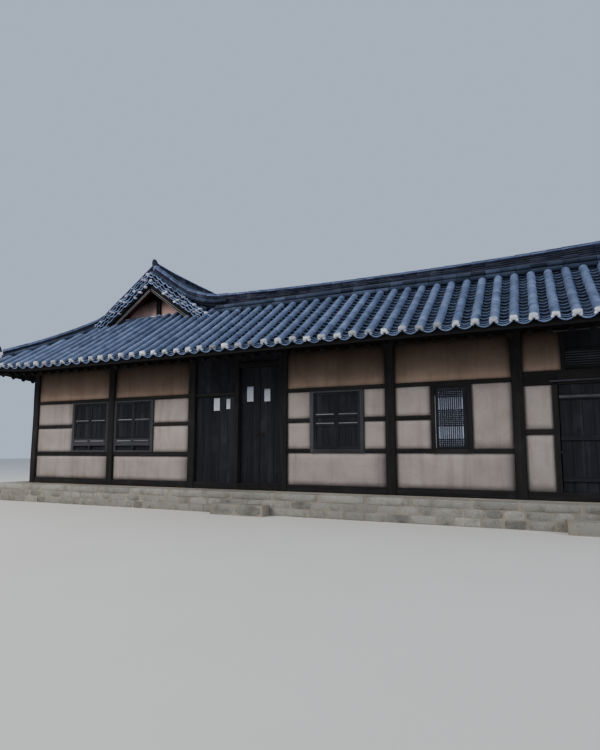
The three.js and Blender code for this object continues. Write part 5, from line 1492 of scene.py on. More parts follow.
@dataclass(frozen=True)
class Gable:
    """One gable: its verge, the tiles hung over it and the boards under them.

    A row of hung tiles is given by its drop below the verge, how far out it hangs and how far back it runs.
    """

    name: str
    seed: int
    turn: Turn
    half: float
    fall: float
    foot: float
    verge: float = 0.45
    lap: float = 0.19
    tile_half: float = 0.1
    tile_sag: float = 0.05
    tile_outs: tuple[float, ...] = (0.0, 0.0, -0.01)
    tile_rises: tuple[float, ...] = (-0.004, 0.026, 0.028, 0.05)
    # Painted light: each hung tile's front lip toned pale and its back end dark.
    hung_tile_light_tones: tuple[float, ...] = (0.35, 0.6, 0.0, -0.15)
    rows: tuple[Point, ...] = (
        (-0.01, 0.07, 0.2), (0.09, 0.075, 0.18), (0.185, 0.065, 0.12), (0.275, 0.05, 0.1),
    )
    row_ends: Span = (0.06, 0.04)
    jog: float = 0.007
    tone: Span = (0.4, 0.12)
    under_drop: float = 0.05
    lumps: float = 0.55
    lump_at: Span = (-0.05, 0.085)
    lump_swing: float = 0.16
    lump: Point = (0.12, 0.11, 0.07)
    cap: Point = (0.22, 0.12, 0.045)
    cap_ends: Span = (0.5, 0.58)
    cap_at: Point = (0.08, 0.06, 0.04)
    cap_swing: float = 0.18
    board: Span = (-0.5, -0.06)
    board_thick: float = 0.035
    board_back: float = 0.06
    edges: tuple[float, ...] = (-0.43, -0.485)
    edge: Span = (0.02, 0.018)
    edge_back: float = 0.035
    edge_end: float = 0.03
    soffit_drop: float = 0.265
    soffit_step: float = 0.12
    soffit_gap: float = 0.008
    soffit_thick: float = 0.02
    post_head: float = 0.34
    post: Span = (0.14, 0.06)
    log_drop: float = 0.08
    log_reach: float = 0.24
    log_radius: float = 0.085

    def points(self, side: int, d: np.ndarray, out: float, rise: float) -> np.ndarray:
        """Points over the verge of one side: x across the gable, y outwards."""
        return joined(side * (self.half - d), out, roof_top(d) + rise)

    def hung_tiles(self, tiles: Pile, lime: Pile) -> None:
        """Rows of short concave tiles that hang over the verge and point outwards."""
        share = np.linspace(-1.0, 1.0, 7)
        start, stop = self.half - self.fall + self.row_ends[0], self.half - self.row_ends[1]
        for row, (drop, out, back) in enumerate(self.rows):
            for d in np.arange(start + row * self.lap / 2, stop, self.lap):
                for side in (-1, 1):
                    jog = tiles.random.normal(0, self.jog, 3)
                    outs = np.array([*self.tile_outs, -back]) + self.verge + out + jog[1]
                    rises = np.array(self.tile_rises) - drop + jog[2]
                    fall = roof_top(d) + SLOPE * share * self.tile_half + rises[:, None]
                    spread = side * (self.half - (d + jog[0] + share * self.tile_half))
                    grid = joined(spread, outs[:, None], fall + self.tile_sag * share ** 2)
                    tone = tiles.random.normal(*self.tone) + np.array(self.hung_tile_light_tones)[:, None]
                    tiles.sheet(grid[None], (grid + tiles.offset())[None], tone[None])
                    # Dark sheet under each hung tile, toned as painted shade.
                    under = np.stack([grid[0], grid[3] - (0, 0, self.under_drop)])
                    tiles.sheet(under[None], (under + tiles.offset())[None], UNDER_SHADE_TONE)
                    size = np.array(self.lump) * lime.random.normal(1.0, self.lump_swing, 3)
                    tone = lime.pick(middle=0.4, swing=0.25)
                    if lime.random.random() < self.lumps:
                        across = side * (self.half - d - self.lap / 2)
                        out_at, rise = self.lump_at
                        middle = (across, self.verge + out + out_at, float(roof_top(d)) - drop + rise)
                        lime.lump(middle, size, power=2.3, rough=0.06, steps=3, tone=tone)

    def foot_caps(self, lime: Pile) -> None:
        """Tiles set in lime along the foot of the wall, over the tops of the slope below."""
        for x in np.arange(self.cap_ends[0] - self.fall, self.fall - self.cap_ends[1], self.lap):
            size = np.array(self.cap) * lime.random.normal(1.0, self.cap_swing, 3)
            tone = lime.pick(middle=0.35, swing=0.3)
            if lime.random.random() < self.lumps:
                middle = (x + self.cap_at[0], self.cap_at[1], self.foot + self.cap_at[2])
                lime.lump(middle, size, power=2.6, rough=0.06, steps=4, tone=tone)

    def bargeboards(self, boards: Pile, soffit: Pile, edges: Pile) -> None:
        """Boards under the verge with pale strips along their lower edges, and soffit boards back to the
        wall.
        """
        middle, deep = sum(self.board) / 2, self.board[1] - self.board[0]
        for side in (-1, 1):
            d = np.linspace(self.half - self.fall, self.half, 9)
            line = self.points(side, d, self.verge - self.board_back, middle)
            boards.run(line, (0, 1, 0), self.board_thick, deep)
            for back in np.arange(self.soffit_step, self.verge - self.soffit_thick, self.soffit_step):
                line = self.points(side, d, back, -self.soffit_drop)
                soffit.run(line, (0, 1, 0), self.soffit_step - self.soffit_gap, self.soffit_thick)
            d = np.linspace(self.half - self.fall, self.half - self.edge_end, 9)
            for rise in self.edges:
                edges.run(self.points(side, d, self.verge - self.edge_back, rise), (0, 1, 0), *self.edge)

    def king_post(self, boards: Pile) -> None:
        """Post up the middle of the wall, with the end of the ridge log over it."""
        top = float(roof_top(self.half)) - self.post_head
        boards.timber(about(0.0, self.post[0]), (0.0, self.post[1]), (self.foot, top), bevel=0.008)
        low = top - self.log_drop
        boards.rod((0.0, 0.0, low), (0.0, self.log_reach, low), self.log_radius, sides=14)

    def build(self) -> None:
        """Makes the gable's tiles, lime and boards."""
        tiles, lime, boards, soffit, edges = (Pile(self.seed + i, self.turn) for i in range(5))
        self.hung_tiles(tiles, lime)
        self.foot_caps(lime)
        self.bargeboards(boards, soffit, edges)
        self.king_post(boards)
        tiles.make(f"{self.name}_hung_tiles", Surfaces.TILE)
        lime.make(f"{self.name}_hung_lime", Surfaces.VERGE)
        # Bargeboards and king post in near-black painted shade.
        boards.make(f"{self.name}_bargeboards", Surfaces.SHADE_DARK_TIMBER)
        soffit.make(f"{self.name}_soffit_boards", Surfaces.OCHRE)
        edges.make(f"{self.name}_board_edges", Surfaces.LATH)


@dataclass(frozen=True)
class Window:
    """Window of a wall: the outside of its frame, and whether boards close it."""

    x: Span
    z: Span
    panel: float = 0.0
    boarded: bool = False
    worn: bool = False

    def frame(self, pile: Pile) -> None:
        """Jambs, sill and head of the frame, and the rails of the low panel."""
        low, high = self.z
        sill, clear = low + self.panel, inset(self.x, JAMB)
        for jamb in ((self.x[0], clear[0]), (clear[1], self.x[1])):
            pile.timber(jamb, FRAME_DEPTH, self.z)
        rails = [(sill, sill + JAMB), (high - JAMB / 2, high)]
        if self.panel:
            rails += [(low, low + JAMB / 2), (sill - PANEL_RAIL, sill)]
        for rail in rails:
            pile.timber(clear, FRAME_DEPTH, rail)

    def boards(self, pile: Pile) -> None:
        """Upright boards of the low panel and, on a boarded window, of its hole."""
        clear = inset(self.x, JAMB)
        sill = self.z[0] + self.panel
        if self.panel:
            low = (self.z[0] + JAMB / 2, sill - PANEL_RAIL)
            pile.boards(clear, BOARD_DEPTH, low, PANEL_BOARD)
            pile.timber(about((clear[0] + clear[1]) / 2, MUNTIN), FRAME_DEPTH, low)
        if self.boarded:
            pile.boards(clear, BOARD_DEPTH, (sill + JAMB, self.z[1] - JAMB / 2), SHUTTER_BOARD)


@dataclass
class Wall:
    """Timber wall with daub panels; x runs along it and y inwards from its face."""

    name: str
    seed: int
    turn: Turn
    span: Span
    daub: Span
    posts: tuple[Span, ...]
    rails: tuple[tuple[Span, Span], ...]
    windows: tuple[Window, ...] = ()
    depth: Span = (0.055, 0.145)
    upper_tone: float = 0.56
    lower_tone: float = 0.55
    # Upper daub fades darker from this height to the plate: smoke-blackening and painted eave shade together.
    shade_and_smoke_from: float = 2.65
    smoke: float = 0.95
    shade_and_smoke_bend: float = 0.5
    faces: int = 6
    tone_swing: float = 0.04
    wander: float = 0.002
    gaps: tuple[tuple[Span, Span], ...] = ()

    def timbers(self, pile: Pile) -> None:
        """Plate, sill, posts and rails."""
        pile.timber(self.span, POST_DEPTH, PLATE, bevel=0.012, wobble=0.003)
        pile.timber(self.span, FRAME_DEPTH, SILL, bevel=0.01, wobble=0.002)
        for post in self.posts:
            pile.timber(about(*post), POST_DEPTH, (BASE_TOP, PLATE_BOTTOM), bevel=0.014, wobble=0.0025)
        for x, z in self.rails:
            for piece in self.pieces(x, z):
                pile.timber(piece, RAIL_DEPTH, z, bevel=0.008, wobble=0.002)

    def pieces(self, x: Span, z: Span) -> list[Span]:
        """Pieces of a rail between posts and windows."""
        blocks = [about(*post) for post in self.posts]
        blocks += [w.x for w in self.windows if w.z[0] < z[1] - NOTCH and w.z[1] > z[0] + NOTCH]
        start, found = x[0], []
        for left, right in sorted(blocks):
            if left > start and left < x[1]:
                found.append((start, left))
            start = max(start, right) if left < x[1] else start
        if start < x[1]:
            found.append((start, x[1]))
        return [piece for piece in found if piece[1] - piece[0] > 2 * NOTCH]

    def cells(self) -> list[tuple[Span, Span, int]]:
        """Daub cells between the timbers, each with the number of its bay."""
        posts = [about(*post) for post in self.posts]
        uprights = [self.daub, *posts, *(window.x for window in self.windows)]
        xs = {x for side in uprights for x in side}
        for x, z in (*self.rails, *self.gaps):
            xs.update(x)
        xs = sorted(v for v in xs if self.daub[0] <= v <= self.daub[1])
        zs = {SILL_TOP, PLATE_BOTTOM, *(v for w in self.windows for v in w.z)}
        zs.update(v for _, z in (*self.rails, *self.gaps) for v in z if SILL_TOP < v < PLATE_BOTTOM)
        zs = sorted(zs)
        found: list[tuple[Span, Span, int]] = []
        for left, right in zip(xs[:-1], xs[1:]):
            x = (left + right) / 2
            if right - left < NOTCH / 2 or any(p[0] < x < p[1] for p in posts):
                continue
            bay = sum(p[0] < x for p in posts)
            for z in self.clear_heights(x, zs):
                beside = [i for i, (span, other, _) in enumerate(found) if span[1] == left and other == z]
                if beside:
                    found[beside[0]] = ((found[beside[0]][0][0], right), z, bay)
                else:
                    found.append(((left, right), z, bay))
        return found

    def clear_heights(self, x: float, zs: Sequence[float]) -> list[Span]:
        """Heights at one place of the wall that neither a rail nor a window takes."""
        taken = [z for span, z in (*self.rails, *self.gaps) if span[0] < x < span[1]]
        taken += [w.z for w in self.windows if w.x[0] < x < w.x[1]]
        found: list[Span] = []
        for low, high in zip(zs[:-1], zs[1:]):
            middle = (low + high) / 2
            if any(t[0] < middle < t[1] for t in taken):
                continue
            if found and abs(found[-1][1] - low) < TINY:
                found[-1] = (found[-1][0], high)
            else:
                found.append((low, high))
        return found

    def panels(self, upper: Pile, lower: Pile) -> None:
        """Daub panels, uneven as a trowel leaves them, and darkened under the eave by smoke and by painted
        eave shade.
        """
        cube, quads = cube_grid(self.faces)
        share = (cube + 1) / 2
        swell = (1 - cube[:, 0] ** 2) * (1 - cube[:, 2] ** 2)
        tones: dict[tuple[int, bool], float] = {}
        for x, z, bay in self.cells():
            high = z[0] > self.shade_and_smoke_from
            pile = upper if high else lower
            base = self.upper_tone if high else self.lower_tone
            tone = tones.setdefault((bay, high), base + pile.random.normal(0, self.tone_swing))
            points = np.empty_like(cube)
            points[:, 0] = x[0] + share[:, 0] * (x[1] - x[0])
            points[:, 2] = z[0] + share[:, 2] * (z[1] - z[0])
            wander = swell * pile.random.normal(0, self.wander, len(cube))
            points[:, 1] = self.depth[0] + share[:, 1] * (self.depth[1] - self.depth[0]) + wander
            # Smoke and painted eave shade: the upper panels' tone fades darker towards the plate.
            smoke = np.clip((points[:, 2] - self.shade_and_smoke_from) / (PLATE_BOTTOM - self.shade_and_smoke_from), 0.0, 1.0)
            fade = 1.0 - self.smoke * smoke ** self.shade_and_smoke_bend if high else 1.0
            pile.add(points, quads, self.turn.to_house(points), tone * fade)

    def build(self) -> None:
        """Makes the wall's timbers, daub, window frames and boards."""
        timbers, upper, boards, lower, plain, worn = (Pile(self.seed + i, self.turn) for i in range(6))
        self.timbers(timbers)
        timbers.make(f"{self.name}_timbers", Surfaces.TIMBER, replaces=[f"{self.name}_frame"])
        self.panels(upper, lower)
        lower.make(f"{self.name}_daub", Surfaces.DAUB, replaces=[f"{self.name}_infill"])
        # Upper panels, smoke-blackened and darkened with painted eave shade.
        upper.make(f"{self.name}_smoked_daub", Surfaces.SHADED_SMOKED)
        for window in self.windows:
            window.frame(worn if window.worn else plain)
            window.boards(boards)
        for pile, label, finish in (
            (plain, "window_frames", Surfaces.TIMBER), (worn, "worn_frame", Surfaces.FRAME),
            (boards, "boards", Surfaces.DOOR),
        ):
            if pile.count:
                pile.make(f"{self.name}_{label}", finish)


def walls() -> list[Wall]:
    """Every wall of the house."""
    tall = (WING_WINDOW_FOOT, LINTEL[0])
    low = (WINDOW_SILL[0], LINTEL[0])
    corner = (POST / 2, POST)

    def plain(x: Span) -> tuple[tuple[Span, Span], ...]:
        """The three rails of a plain wall."""
        return ((x, LINTEL), (x, MID_RAIL), (x, LOW_RAIL))

    def at(*places: float) -> tuple[float, ...]:
        """Distances along the front wall of places on the house."""
        return tuple(x + WALL_X for x in places)

    def posts(*middles: float) -> tuple[Span, ...]:
        """Posts of full width about their middles."""
        return tuple((middle, POST) for middle in middles)

    def far(*starts: float) -> tuple[Window, ...]:
        """Boarded windows over a low panel."""
        return tuple(Window((x, x + FAR_WINDOW), tall, FAR_PANEL, True) for x in starts)

    front = Turn(-WALL_X, FRONT_Y, 0)
    gate, store = GATE[1], STORE[0]
    wing_end = PASSAGE_POST - POST / 2
    end_length = RANGE_BACK_Y - FRONT_Y - POST
    east_start = RANGE_BACK_Y - POST
    east_length = WING_BACK_Y - east_start - POST
    west_length = WING_BACK_Y - FRONT_Y - POST
    wing_width = WING_EAST_X + WALL_X
    back_span = WALL_X - gate
    return [
        Wall(
            "wing_front", 200, front, (0, *at(GATE[0])), (POST, *at(wing_end)),
            (corner, *posts(*at(WING_POST, PASSAGE_POST))),
            (((0, *at(wing_end)), LINTEL), ((0, *at(wing_end)), LOW_RAIL),
             ((0, *at(WING_WINDOWS[0][0])), MID_RAIL), (at(WING_WINDOWS[1][1], wing_end), MID_RAIL)),
            tuple(Window(at(*x), tall, FAR_PANEL, worn=True) for x in WING_WINDOWS),
        ),
        Wall(
            "range_front", 210, front, at(gate, store), at(gate + POST, STORE_UPRIGHT),
            posts(*at(gate + POST / 2, MIDDLE_POST, STORE_POST)),
            ((at(gate, STORE_POST), LINTEL), (at(STORE_POST, store), DOOR_LINTEL),
             (at(gate, LATTICE[0]), MID_RAIL), (at(STORE_POST, store - STORE_JAMB), STORE_RAIL),
             (at(gate, STORE_POST), WINDOW_SILL),
             (at(store - STORE_JAMB, store), (SILL_TOP, DOOR_LINTEL[0]))),
            (Window(at(*LEAF_WINDOW), low, worn=True), Window(at(*LATTICE), low)),
            gaps=((at(store, STORE_UPRIGHT), (BASE_TOP, DOOR_LINTEL[1])),),
        ),
        Wall(
            "range_end", 220, Turn(WALL_X, FRONT_Y, 1), (0, end_length), (POST, end_length),
            (corner, *posts(END_POST)), plain((POST / 2, end_length)),
        ),
        Wall(
            "range_back", 230, Turn(WALL_X, RANGE_BACK_Y, 2), (0, back_span), (POST, back_span - POST),
            (corner, *posts(WALL_X - STORE_POST, WALL_X - MIDDLE_POST, back_span - POST / 2)),
            plain((POST / 2, back_span - POST / 2)),
            tuple(Window((WALL_X - x[1], WALL_X - x[0]), low, boarded=True) for x in (LATTICE, LEAF_WINDOW)),
        ),
        Wall(
            "wing_east", 240, Turn(WING_EAST_X, east_start, 1), (0, east_length), (POST, east_length),
            (corner, *posts(EAST_POST_Y - east_start)), plain((POST / 2, east_length)),
            far(EAST_WINDOW_Y - east_start),
        ),
        Wall(
            "wing_back", 250, Turn(WING_EAST_X, WING_BACK_Y, 2),
            (0, wing_width - POST), (POST, wing_width - POST),
            (corner, *posts(wing_width / 2)), plain((POST / 2, wing_width - POST)),
            far(BACK_WINDOW_INSET, wing_width - BACK_WINDOW_INSET - FAR_WINDOW),
        ),
        Wall(
            "wing_west", 260, Turn(-WALL_X, WING_BACK_Y, 3), (0, west_length), (POST, west_length),
            (corner, *posts(*WEST_POSTS)), plain((POST / 2, west_length)), far(WEST_WINDOW_END - FAR_WINDOW),
        ),
    ]


@dataclass
class WindowLeaf:
    """Closed leaf of a window: boards held by stiles and rails, with pale laths."""

    node: str
    seed: int
    x: Span
    z: Span
    rails: tuple[float, ...]
    foot_lath: float = 0.0
    face: float = FRONT_Y + 0.04
    thick: float = 0.036
    bar: float = 0.055
    board: float = 0.14
    board_depth: Span = (0.012, 0.024)
    lath: float = 0.02
    lath_rise: float = 0.02
    lath_depth: Span = (-0.012, 0.004)
    foot_depth: Span = (-0.008, 0.004)

    def build(self) -> None:
        """Makes the leaf in place of its plain node."""
        boards, laths = Pile(self.seed), Pile(self.seed + 1)
        clear, depth = inset(self.x, self.bar), (self.face, self.face + self.thick)
        boards.boards(clear, moved(self.board_depth, self.face), self.z, self.board)
        for x in ((self.x[0], clear[0]), (clear[1], self.x[1])):
            boards.timber(x, depth, self.z, bevel=0.004, wobble=0.0005)
        for low in (self.z[0], self.z[1] - self.bar):
            boards.timber(clear, depth, (low, low + self.bar), bevel=0.004, wobble=0.0005)
        for share in self.rails:
            low = self.z[0] + share * (self.z[1] - self.z[0])
            rail = (low, low + self.bar)
            boards.timber(clear, (self.face - 0.002, depth[1]), rail, bevel=0.005, wobble=0.001)
            top = rail[1] + self.lath_rise
            lath_depth = moved(self.lath_depth, self.face)
            laths.timber(clear, lath_depth, (top - self.lath, top), bevel=0.003, wobble=0.001)
        if self.foot_lath:
            foot_depth = moved(self.foot_depth, FRONT_Y + FRAME_DEPTH[0])
            foot = (self.foot_lath, self.foot_lath + self.lath)
            laths.timber(clear, foot_depth, foot, bevel=0.003, wobble=0.001)
        boards.make(f"{self.node}_boards", Surfaces.DOOR, replaces=[self.node])
        laths.make(f"{self.node}_laths", Surfaces.LATH)


@dataclass
class LatticeWindow:
    """Paper window behind a lattice of thin bars, in bands from its top down."""

    x: Span = (LATTICE[0] + JAMB, LATTICE[1] - JAMB)
    z: Span = (WINDOW_SILL[1], LINTEL[0] - JAMB / 2)
    face: float = FRONT_Y + 0.04
    thick: float = 0.036
    stiles: Span = (0.06, 0.085)
    rail: float = 0.05
    pitch: float = 0.04
    bar: float = 0.016
    upright_depth: Span = (0.006, 0.022)
    level_depth: Span = (0.008, 0.024)
    paper_depth: Span = (0.024, 0.028)
    paper_inset: float = 0.02
    lath: Span = (0.002, 0.014)
    lath_depth: Span = (-0.006, 0.004)
    lath_ends: Span = (0.02, 0.16)
    bands: tuple[tuple[float, float, bool], ...] = (
        (0.0, 0.155, True), (0.155, 0.375, False), (0.375, 0.625, True), (0.625, 0.845, False),
        (0.845, 1.0, True),
    )

    def build(self) -> None:
        """Makes the window in place of its plain node."""
        wood, paper, lath = Pile(300), Pile(301), Pile(302)
        (left, right), (low, high) = self.x, self.z
        whole = (self.face, self.face + self.thick)
        clear = (left + self.stiles[0], right - self.stiles[1])
        for x in ((left, clear[0]), (clear[1], right)):
            wood.timber(x, whole, self.z, bevel=0.004, wobble=0.0005)
        for z in ((low, low + self.rail), (high - self.rail, high)):
            wood.timber(clear, whole, z, bevel=0.004, wobble=0.0005)
        count = round((clear[1] - clear[0]) / self.pitch)
        depth = moved(self.upright_depth, self.face)
        for x in np.linspace(*clear, count + 1)[1:-1]:
            wood.timber(about(x, self.bar), depth, self.z, bevel=0.002, wobble=0.0)
        depth = moved(self.level_depth, self.face)
        for top, bottom, grid in self.bands:
            rows = round((bottom - top) * (high - low) / self.pitch) if grid else 1
            for share in np.linspace(top, bottom, rows + 1):
                level = about(high - share * (high - low), self.bar)
                wood.timber(clear, depth, level, bevel=0.002, wobble=0.0)
        sheet = inset(self.z, self.paper_inset)
        paper.timber(clear, moved(self.paper_depth, self.face), sheet, bevel=0.0, wobble=0.0)
        strip = (low + self.lath_ends[0], high - self.lath_ends[1])
        lath.timber(moved(self.lath, left), moved(self.lath_depth, self.face), strip, bevel=0.002, tone=0.95)
        wood.make("lattice_window_bars", Surfaces.DOOR)
        lath.make("lattice_window_lath", Surfaces.LATH)
        paper.make("lattice_window_paper", Surfaces.PAPER, replaces=["lattice_window"])


@dataclass(frozen=True)
class Slip:
    """Bare slip of paper stuck on boards."""

    x: Span
    z: Span

    def add(self, pile: Pile, y: float) -> None:
        """Adds the slip over boards whose face is at y."""
        pile.timber(self.x, (y - 0.0035, y + 0.001), self.z, bevel=0.0, wobble=0.0008, step=0.06)


@dataclass
class Doorway:
    """Doorway in the front wall: its head, threshold and pair of leaves."""

    name: str
    seed: int
    x: Span
    lintel: Span
    inwards: bool
    worn: tuple[float, ...] = ()
    slips: tuple[Slip, ...] = ()
    lintel_depth: Span = (0.015, 0.185)
    head_board: float = 0.19
    clear: float = 0.012
    apart: float = 0.01
    gap: float = 0.006
    leaf: float = 0.03
    board: float = 0.17
    batten: float = 0.025
    batten_tall: float = 0.09
    batten_shares: tuple[float, ...] = (0.12, 0.5, 0.88)
    worn_tall: Span = (-0.01, 0.035)
    pin: float = 0.009
    pin_inset: float = 0.01
    pin_long: float = 0.05
    ring_inset: float = 0.07
    ring_share: float = 0.42
    ring_radius: float = 0.032
    ring_thick: float = 0.004
    plate: float = 0.056

    def head(self) -> None:
        """Lintel, boards above it, the wall plate and the threshold."""
        beams, boards, sill = (Pile(self.seed + i) for i in range(3))
        beams.timber(self.x, moved(self.lintel_depth, FRONT_Y), self.lintel, bevel=0.01, wobble=0.002)
        beams.timber(self.x, moved(POST_DEPTH, FRONT_Y), PLATE, bevel=0.012, wobble=0.002)
        boards.boards(self.x, moved(BOARD_DEPTH, FRONT_Y), (self.lintel[1], PLATE_BOTTOM), self.head_board)
        sill.timber(self.x, moved(FRAME_DEPTH, FRONT_Y), SILL, bevel=0.012, wobble=0.002)
        beams.make(f"{self.name}_head_beams", Surfaces.TIMBER, replaces=[f"{self.name}_head"])
        boards.make(f"{self.name}_head_boards", Surfaces.DOOR)
        sill.make(f"{self.name}_threshold_beam", Surfaces.TIMBER, replaces=[f"{self.name}_threshold"])

    def one_leaf(self, number: int, x: Span, body: str) -> None:
        """Boards, battens, pivots, slips and pull ring of one leaf."""
        name = f"{self.name}_leaf_{number + 1}"
        boards, battens, ring, worn, paper = (Pile(self.seed + 10 + 5 * number + i) for i in range(5))
        z = (SILL_TOP + self.gap, self.lintel[0] - self.gap)
        side = -1 if self.inwards else 1
        hung = FRONT_Y + FRAME_DEPTH[self.inwards]
        boards_y = sorted((hung + side * self.batten, hung + side * (self.leaf + self.batten)))
        battens_y = sorted((hung, hung + side * self.batten))
        boards.boards(x, boards_y, z, self.board)
        for share in self.batten_shares:
            middle = z[0] + share * (z[1] - z[0])
            battens.timber(x, battens_y, about(middle, self.batten_tall))
            if share in self.worn:
                depth = moved((-0.003, 0.004), battens_y[0])
                worn.timber(x, depth, moved(self.worn_tall, middle), bevel=0.003)
        outer = x[0] + self.pin_inset if number == 0 else x[1] - self.pin_inset
        inner = x[1] - self.ring_inset if number == 0 else x[0] + self.ring_inset
        reach = self.gap - 0.001
        for low, high in ((z[0] - reach, z[0] + self.pin_long), (z[1] - self.pin_long, z[1] + reach)):
            y = hung + side * self.pin_inset
            battens.rod((outer, y, low), (outer, y, high), self.pin, sides=12, wobble=0.0)
        for slip in self.slips:
            if x[0] < slip.x[0] < x[1]:
                slip.add(paper, boards_y[0])
        self.ring(ring, inner, min(boards_y[0], battens_y[0]) - 0.003, z[0] + self.ring_share * (z[1] - z[0]))
        boards.make(f"{name}_boards", Surfaces.DOOR, body, [name], "door_boards")
        battens.make(f"{name}_battens", Surfaces.DOOR, body, slot="door_boards")
        if worn.count:
            worn.make(f"{name}_top_batten", Surfaces.POLE, body, slot="door_boards")
        if paper.count:
            paper.make(f"{name}_slip", Surfaces.SLIP, body)
        ring.make(f"{name}_ring", Surfaces.IRON, body)

    def ring(self, pile: Pile, x: float, y: float, z: float) -> None:
        """Iron plate and pull ring on the meeting edge of a leaf."""
        sides = about(x, self.plate), about(z, self.plate)
        pile.timber(sides[0], (y - 0.003, y + 0.004), sides[1], bevel=0.001, wobble=0.0)
        radius, front = self.ring_radius, y - 0.009
        angle = np.linspace(0.0, 2 * math.pi, 15)
        circle = [(x + radius * math.sin(a), front, z - radius + radius * math.cos(a)) for a in angle]
        for start, end in zip(circle[:-1], circle[1:]):
            pile.rod(start, end, self.ring_thick, sides=8, stations=2, wobble=0.0, tone=0.5)

    def build(self) -> None:
        """Makes the whole doorway, each leaf on its own body."""
        self.head()
        width = (self.x[1] - self.x[0] - 2 * self.clear - self.apart) / 2
        left = self.x[0] + self.clear
        spans = ((left, left + width), (left + width + self.apart, left + 2 * width + self.apart))
        for number, (x, hand) in enumerate(zip(spans, ("left", "right"))):
            self.one_leaf(number, x, f"{self.name}_{hand}")


@dataclass
class GateBay:
    """Fixed boards to the left of the gate, with their paper slips, and its jamb."""

    x: Span = (PASSAGE_POST + POST / 2, GATE[0] - GATE_JAMB)
    jamb: Span = (GATE[0] - GATE_JAMB, GATE[0])
    board: float = 0.22
    slips: tuple[Slip, ...] = (Slip((-1.5, -1.34), (2.28, 2.58)), Slip((-1.15, -1.05), (2.31, 2.55)))

    def build(self) -> None:
        """Makes the bay's boards, rail, jamb and slips."""
        timbers, boards, slips = Pile(400), Pile(401), Pile(402)
        timbers.timber(self.jamb, moved(FRAME_DEPTH, FRONT_Y), (BASE_TOP, PLATE_BOTTOM), bevel=0.008)
        timbers.timber(self.x, moved(RAIL_DEPTH, FRONT_Y), LINTEL, bevel=0.008)
        for z in ((SILL_TOP, LINTEL[0]), (LINTEL[1], PLATE_BOTTOM)):
            boards.boards(self.x, moved(BOARD_DEPTH, FRONT_Y), z, self.board)
        for slip in self.slips:
            slip.add(slips, FRONT_Y + BOARD_DEPTH[0])
        slips.make("gate_bay_slips", Surfaces.SLIP)
        timbers.make("gate_bay_timbers", Surfaces.TIMBER)
        boards.make("gate_bay_boards", Surfaces.DOOR)


@dataclass
class StoreFront:
    """What stands over the store doors: poles, an upright and a barred opening light."""

    x: Span = (STORE_UPRIGHT, STORE[1])
    upright: float = 0.07
    upright_depth: Span = (0.02, 0.09)
    light: Span = (2.84, 3.15)
    rail: float = 0.04
    rail_depth: Span = (0.045, 0.075)
    bars: float = 0.045
    bar: float = 0.014
    bar_depths: tuple[Span, Span] = ((0.055, 0.069), (0.05, 0.066))
    pole: float = 0.03
    poles: tuple[Point, ...] = ((STORE[0] - 0.13, -0.012, 2.59), (STORE[0] - 0.12, -0.03, 3.5))

    def build(self) -> None:
        """Makes the poles, the upright and the bars."""
        wood, poles = Pile(430), Pile(431)
        start, end = self.x
        left = start + self.upright
        wood.timber((start, left), moved(self.upright_depth, FRONT_Y), (DOOR_LINTEL[1], PLATE_BOTTOM))
        for z in self.light:
            wood.timber((left, end), moved(self.rail_depth, FRONT_Y), about(z, self.rail), bevel=0.004)
        depths = [moved(depth, FRONT_Y) for depth in self.bar_depths]
        for x in np.arange(left + self.bars, end, self.bars):
            wood.timber(about(x, self.bar), depths[0], self.light, bevel=0.001, wobble=0.0)
        for z in np.arange(self.light[0] + self.bars, self.light[1] - self.rail / 2, self.bars):
            poles.timber((left, end), depths[1], about(z, self.bar), bevel=0.001, wobble=0.0)
        for x, out, z in self.poles:
            y = FRONT_Y + out
            poles.bar(
                (x, y, z), (end, y, z + 0.01), (0, 0, 1), self.pole, self.pole, bevel=0.01, wobble=0.003,
                step=0.3,
            )
        wood.make("store_light_bars", Surfaces.TIMBER)
        poles.make("store_poles", Surfaces.POLE, smooth=45.0)


@dataclass
class PassageHead:
    """Open head of the passage in the range's back wall."""

    x: Span = (WING_EAST_X, GATE[1])
    lintel_depth: Span = (-0.185, -0.015)
    plate_depth: Span = (-0.2, 0.0)
    board_depth: Span = (-0.11, -0.07)
    board: float = 0.19

    def build(self) -> None:
        """Makes the lintel, the boards above it and the plate."""
        beams, boards = Pile(410), Pile(411)
        beams.timber(self.x, moved(self.lintel_depth, RANGE_BACK_Y), LINTEL, bevel=0.01)
        beams.timber(self.x, moved(self.plate_depth, RANGE_BACK_Y), PLATE, bevel=0.012)
        depth = moved(self.board_depth, RANGE_BACK_Y)
        boards.boards(self.x, depth, (LINTEL[1], PLATE_BOTTOM), self.board)
        beams.make("passage_head_beams", Surfaces.TIMBER, replaces=["passage_head"])
        boards.make("passage_head_boards", Surfaces.DOOR)


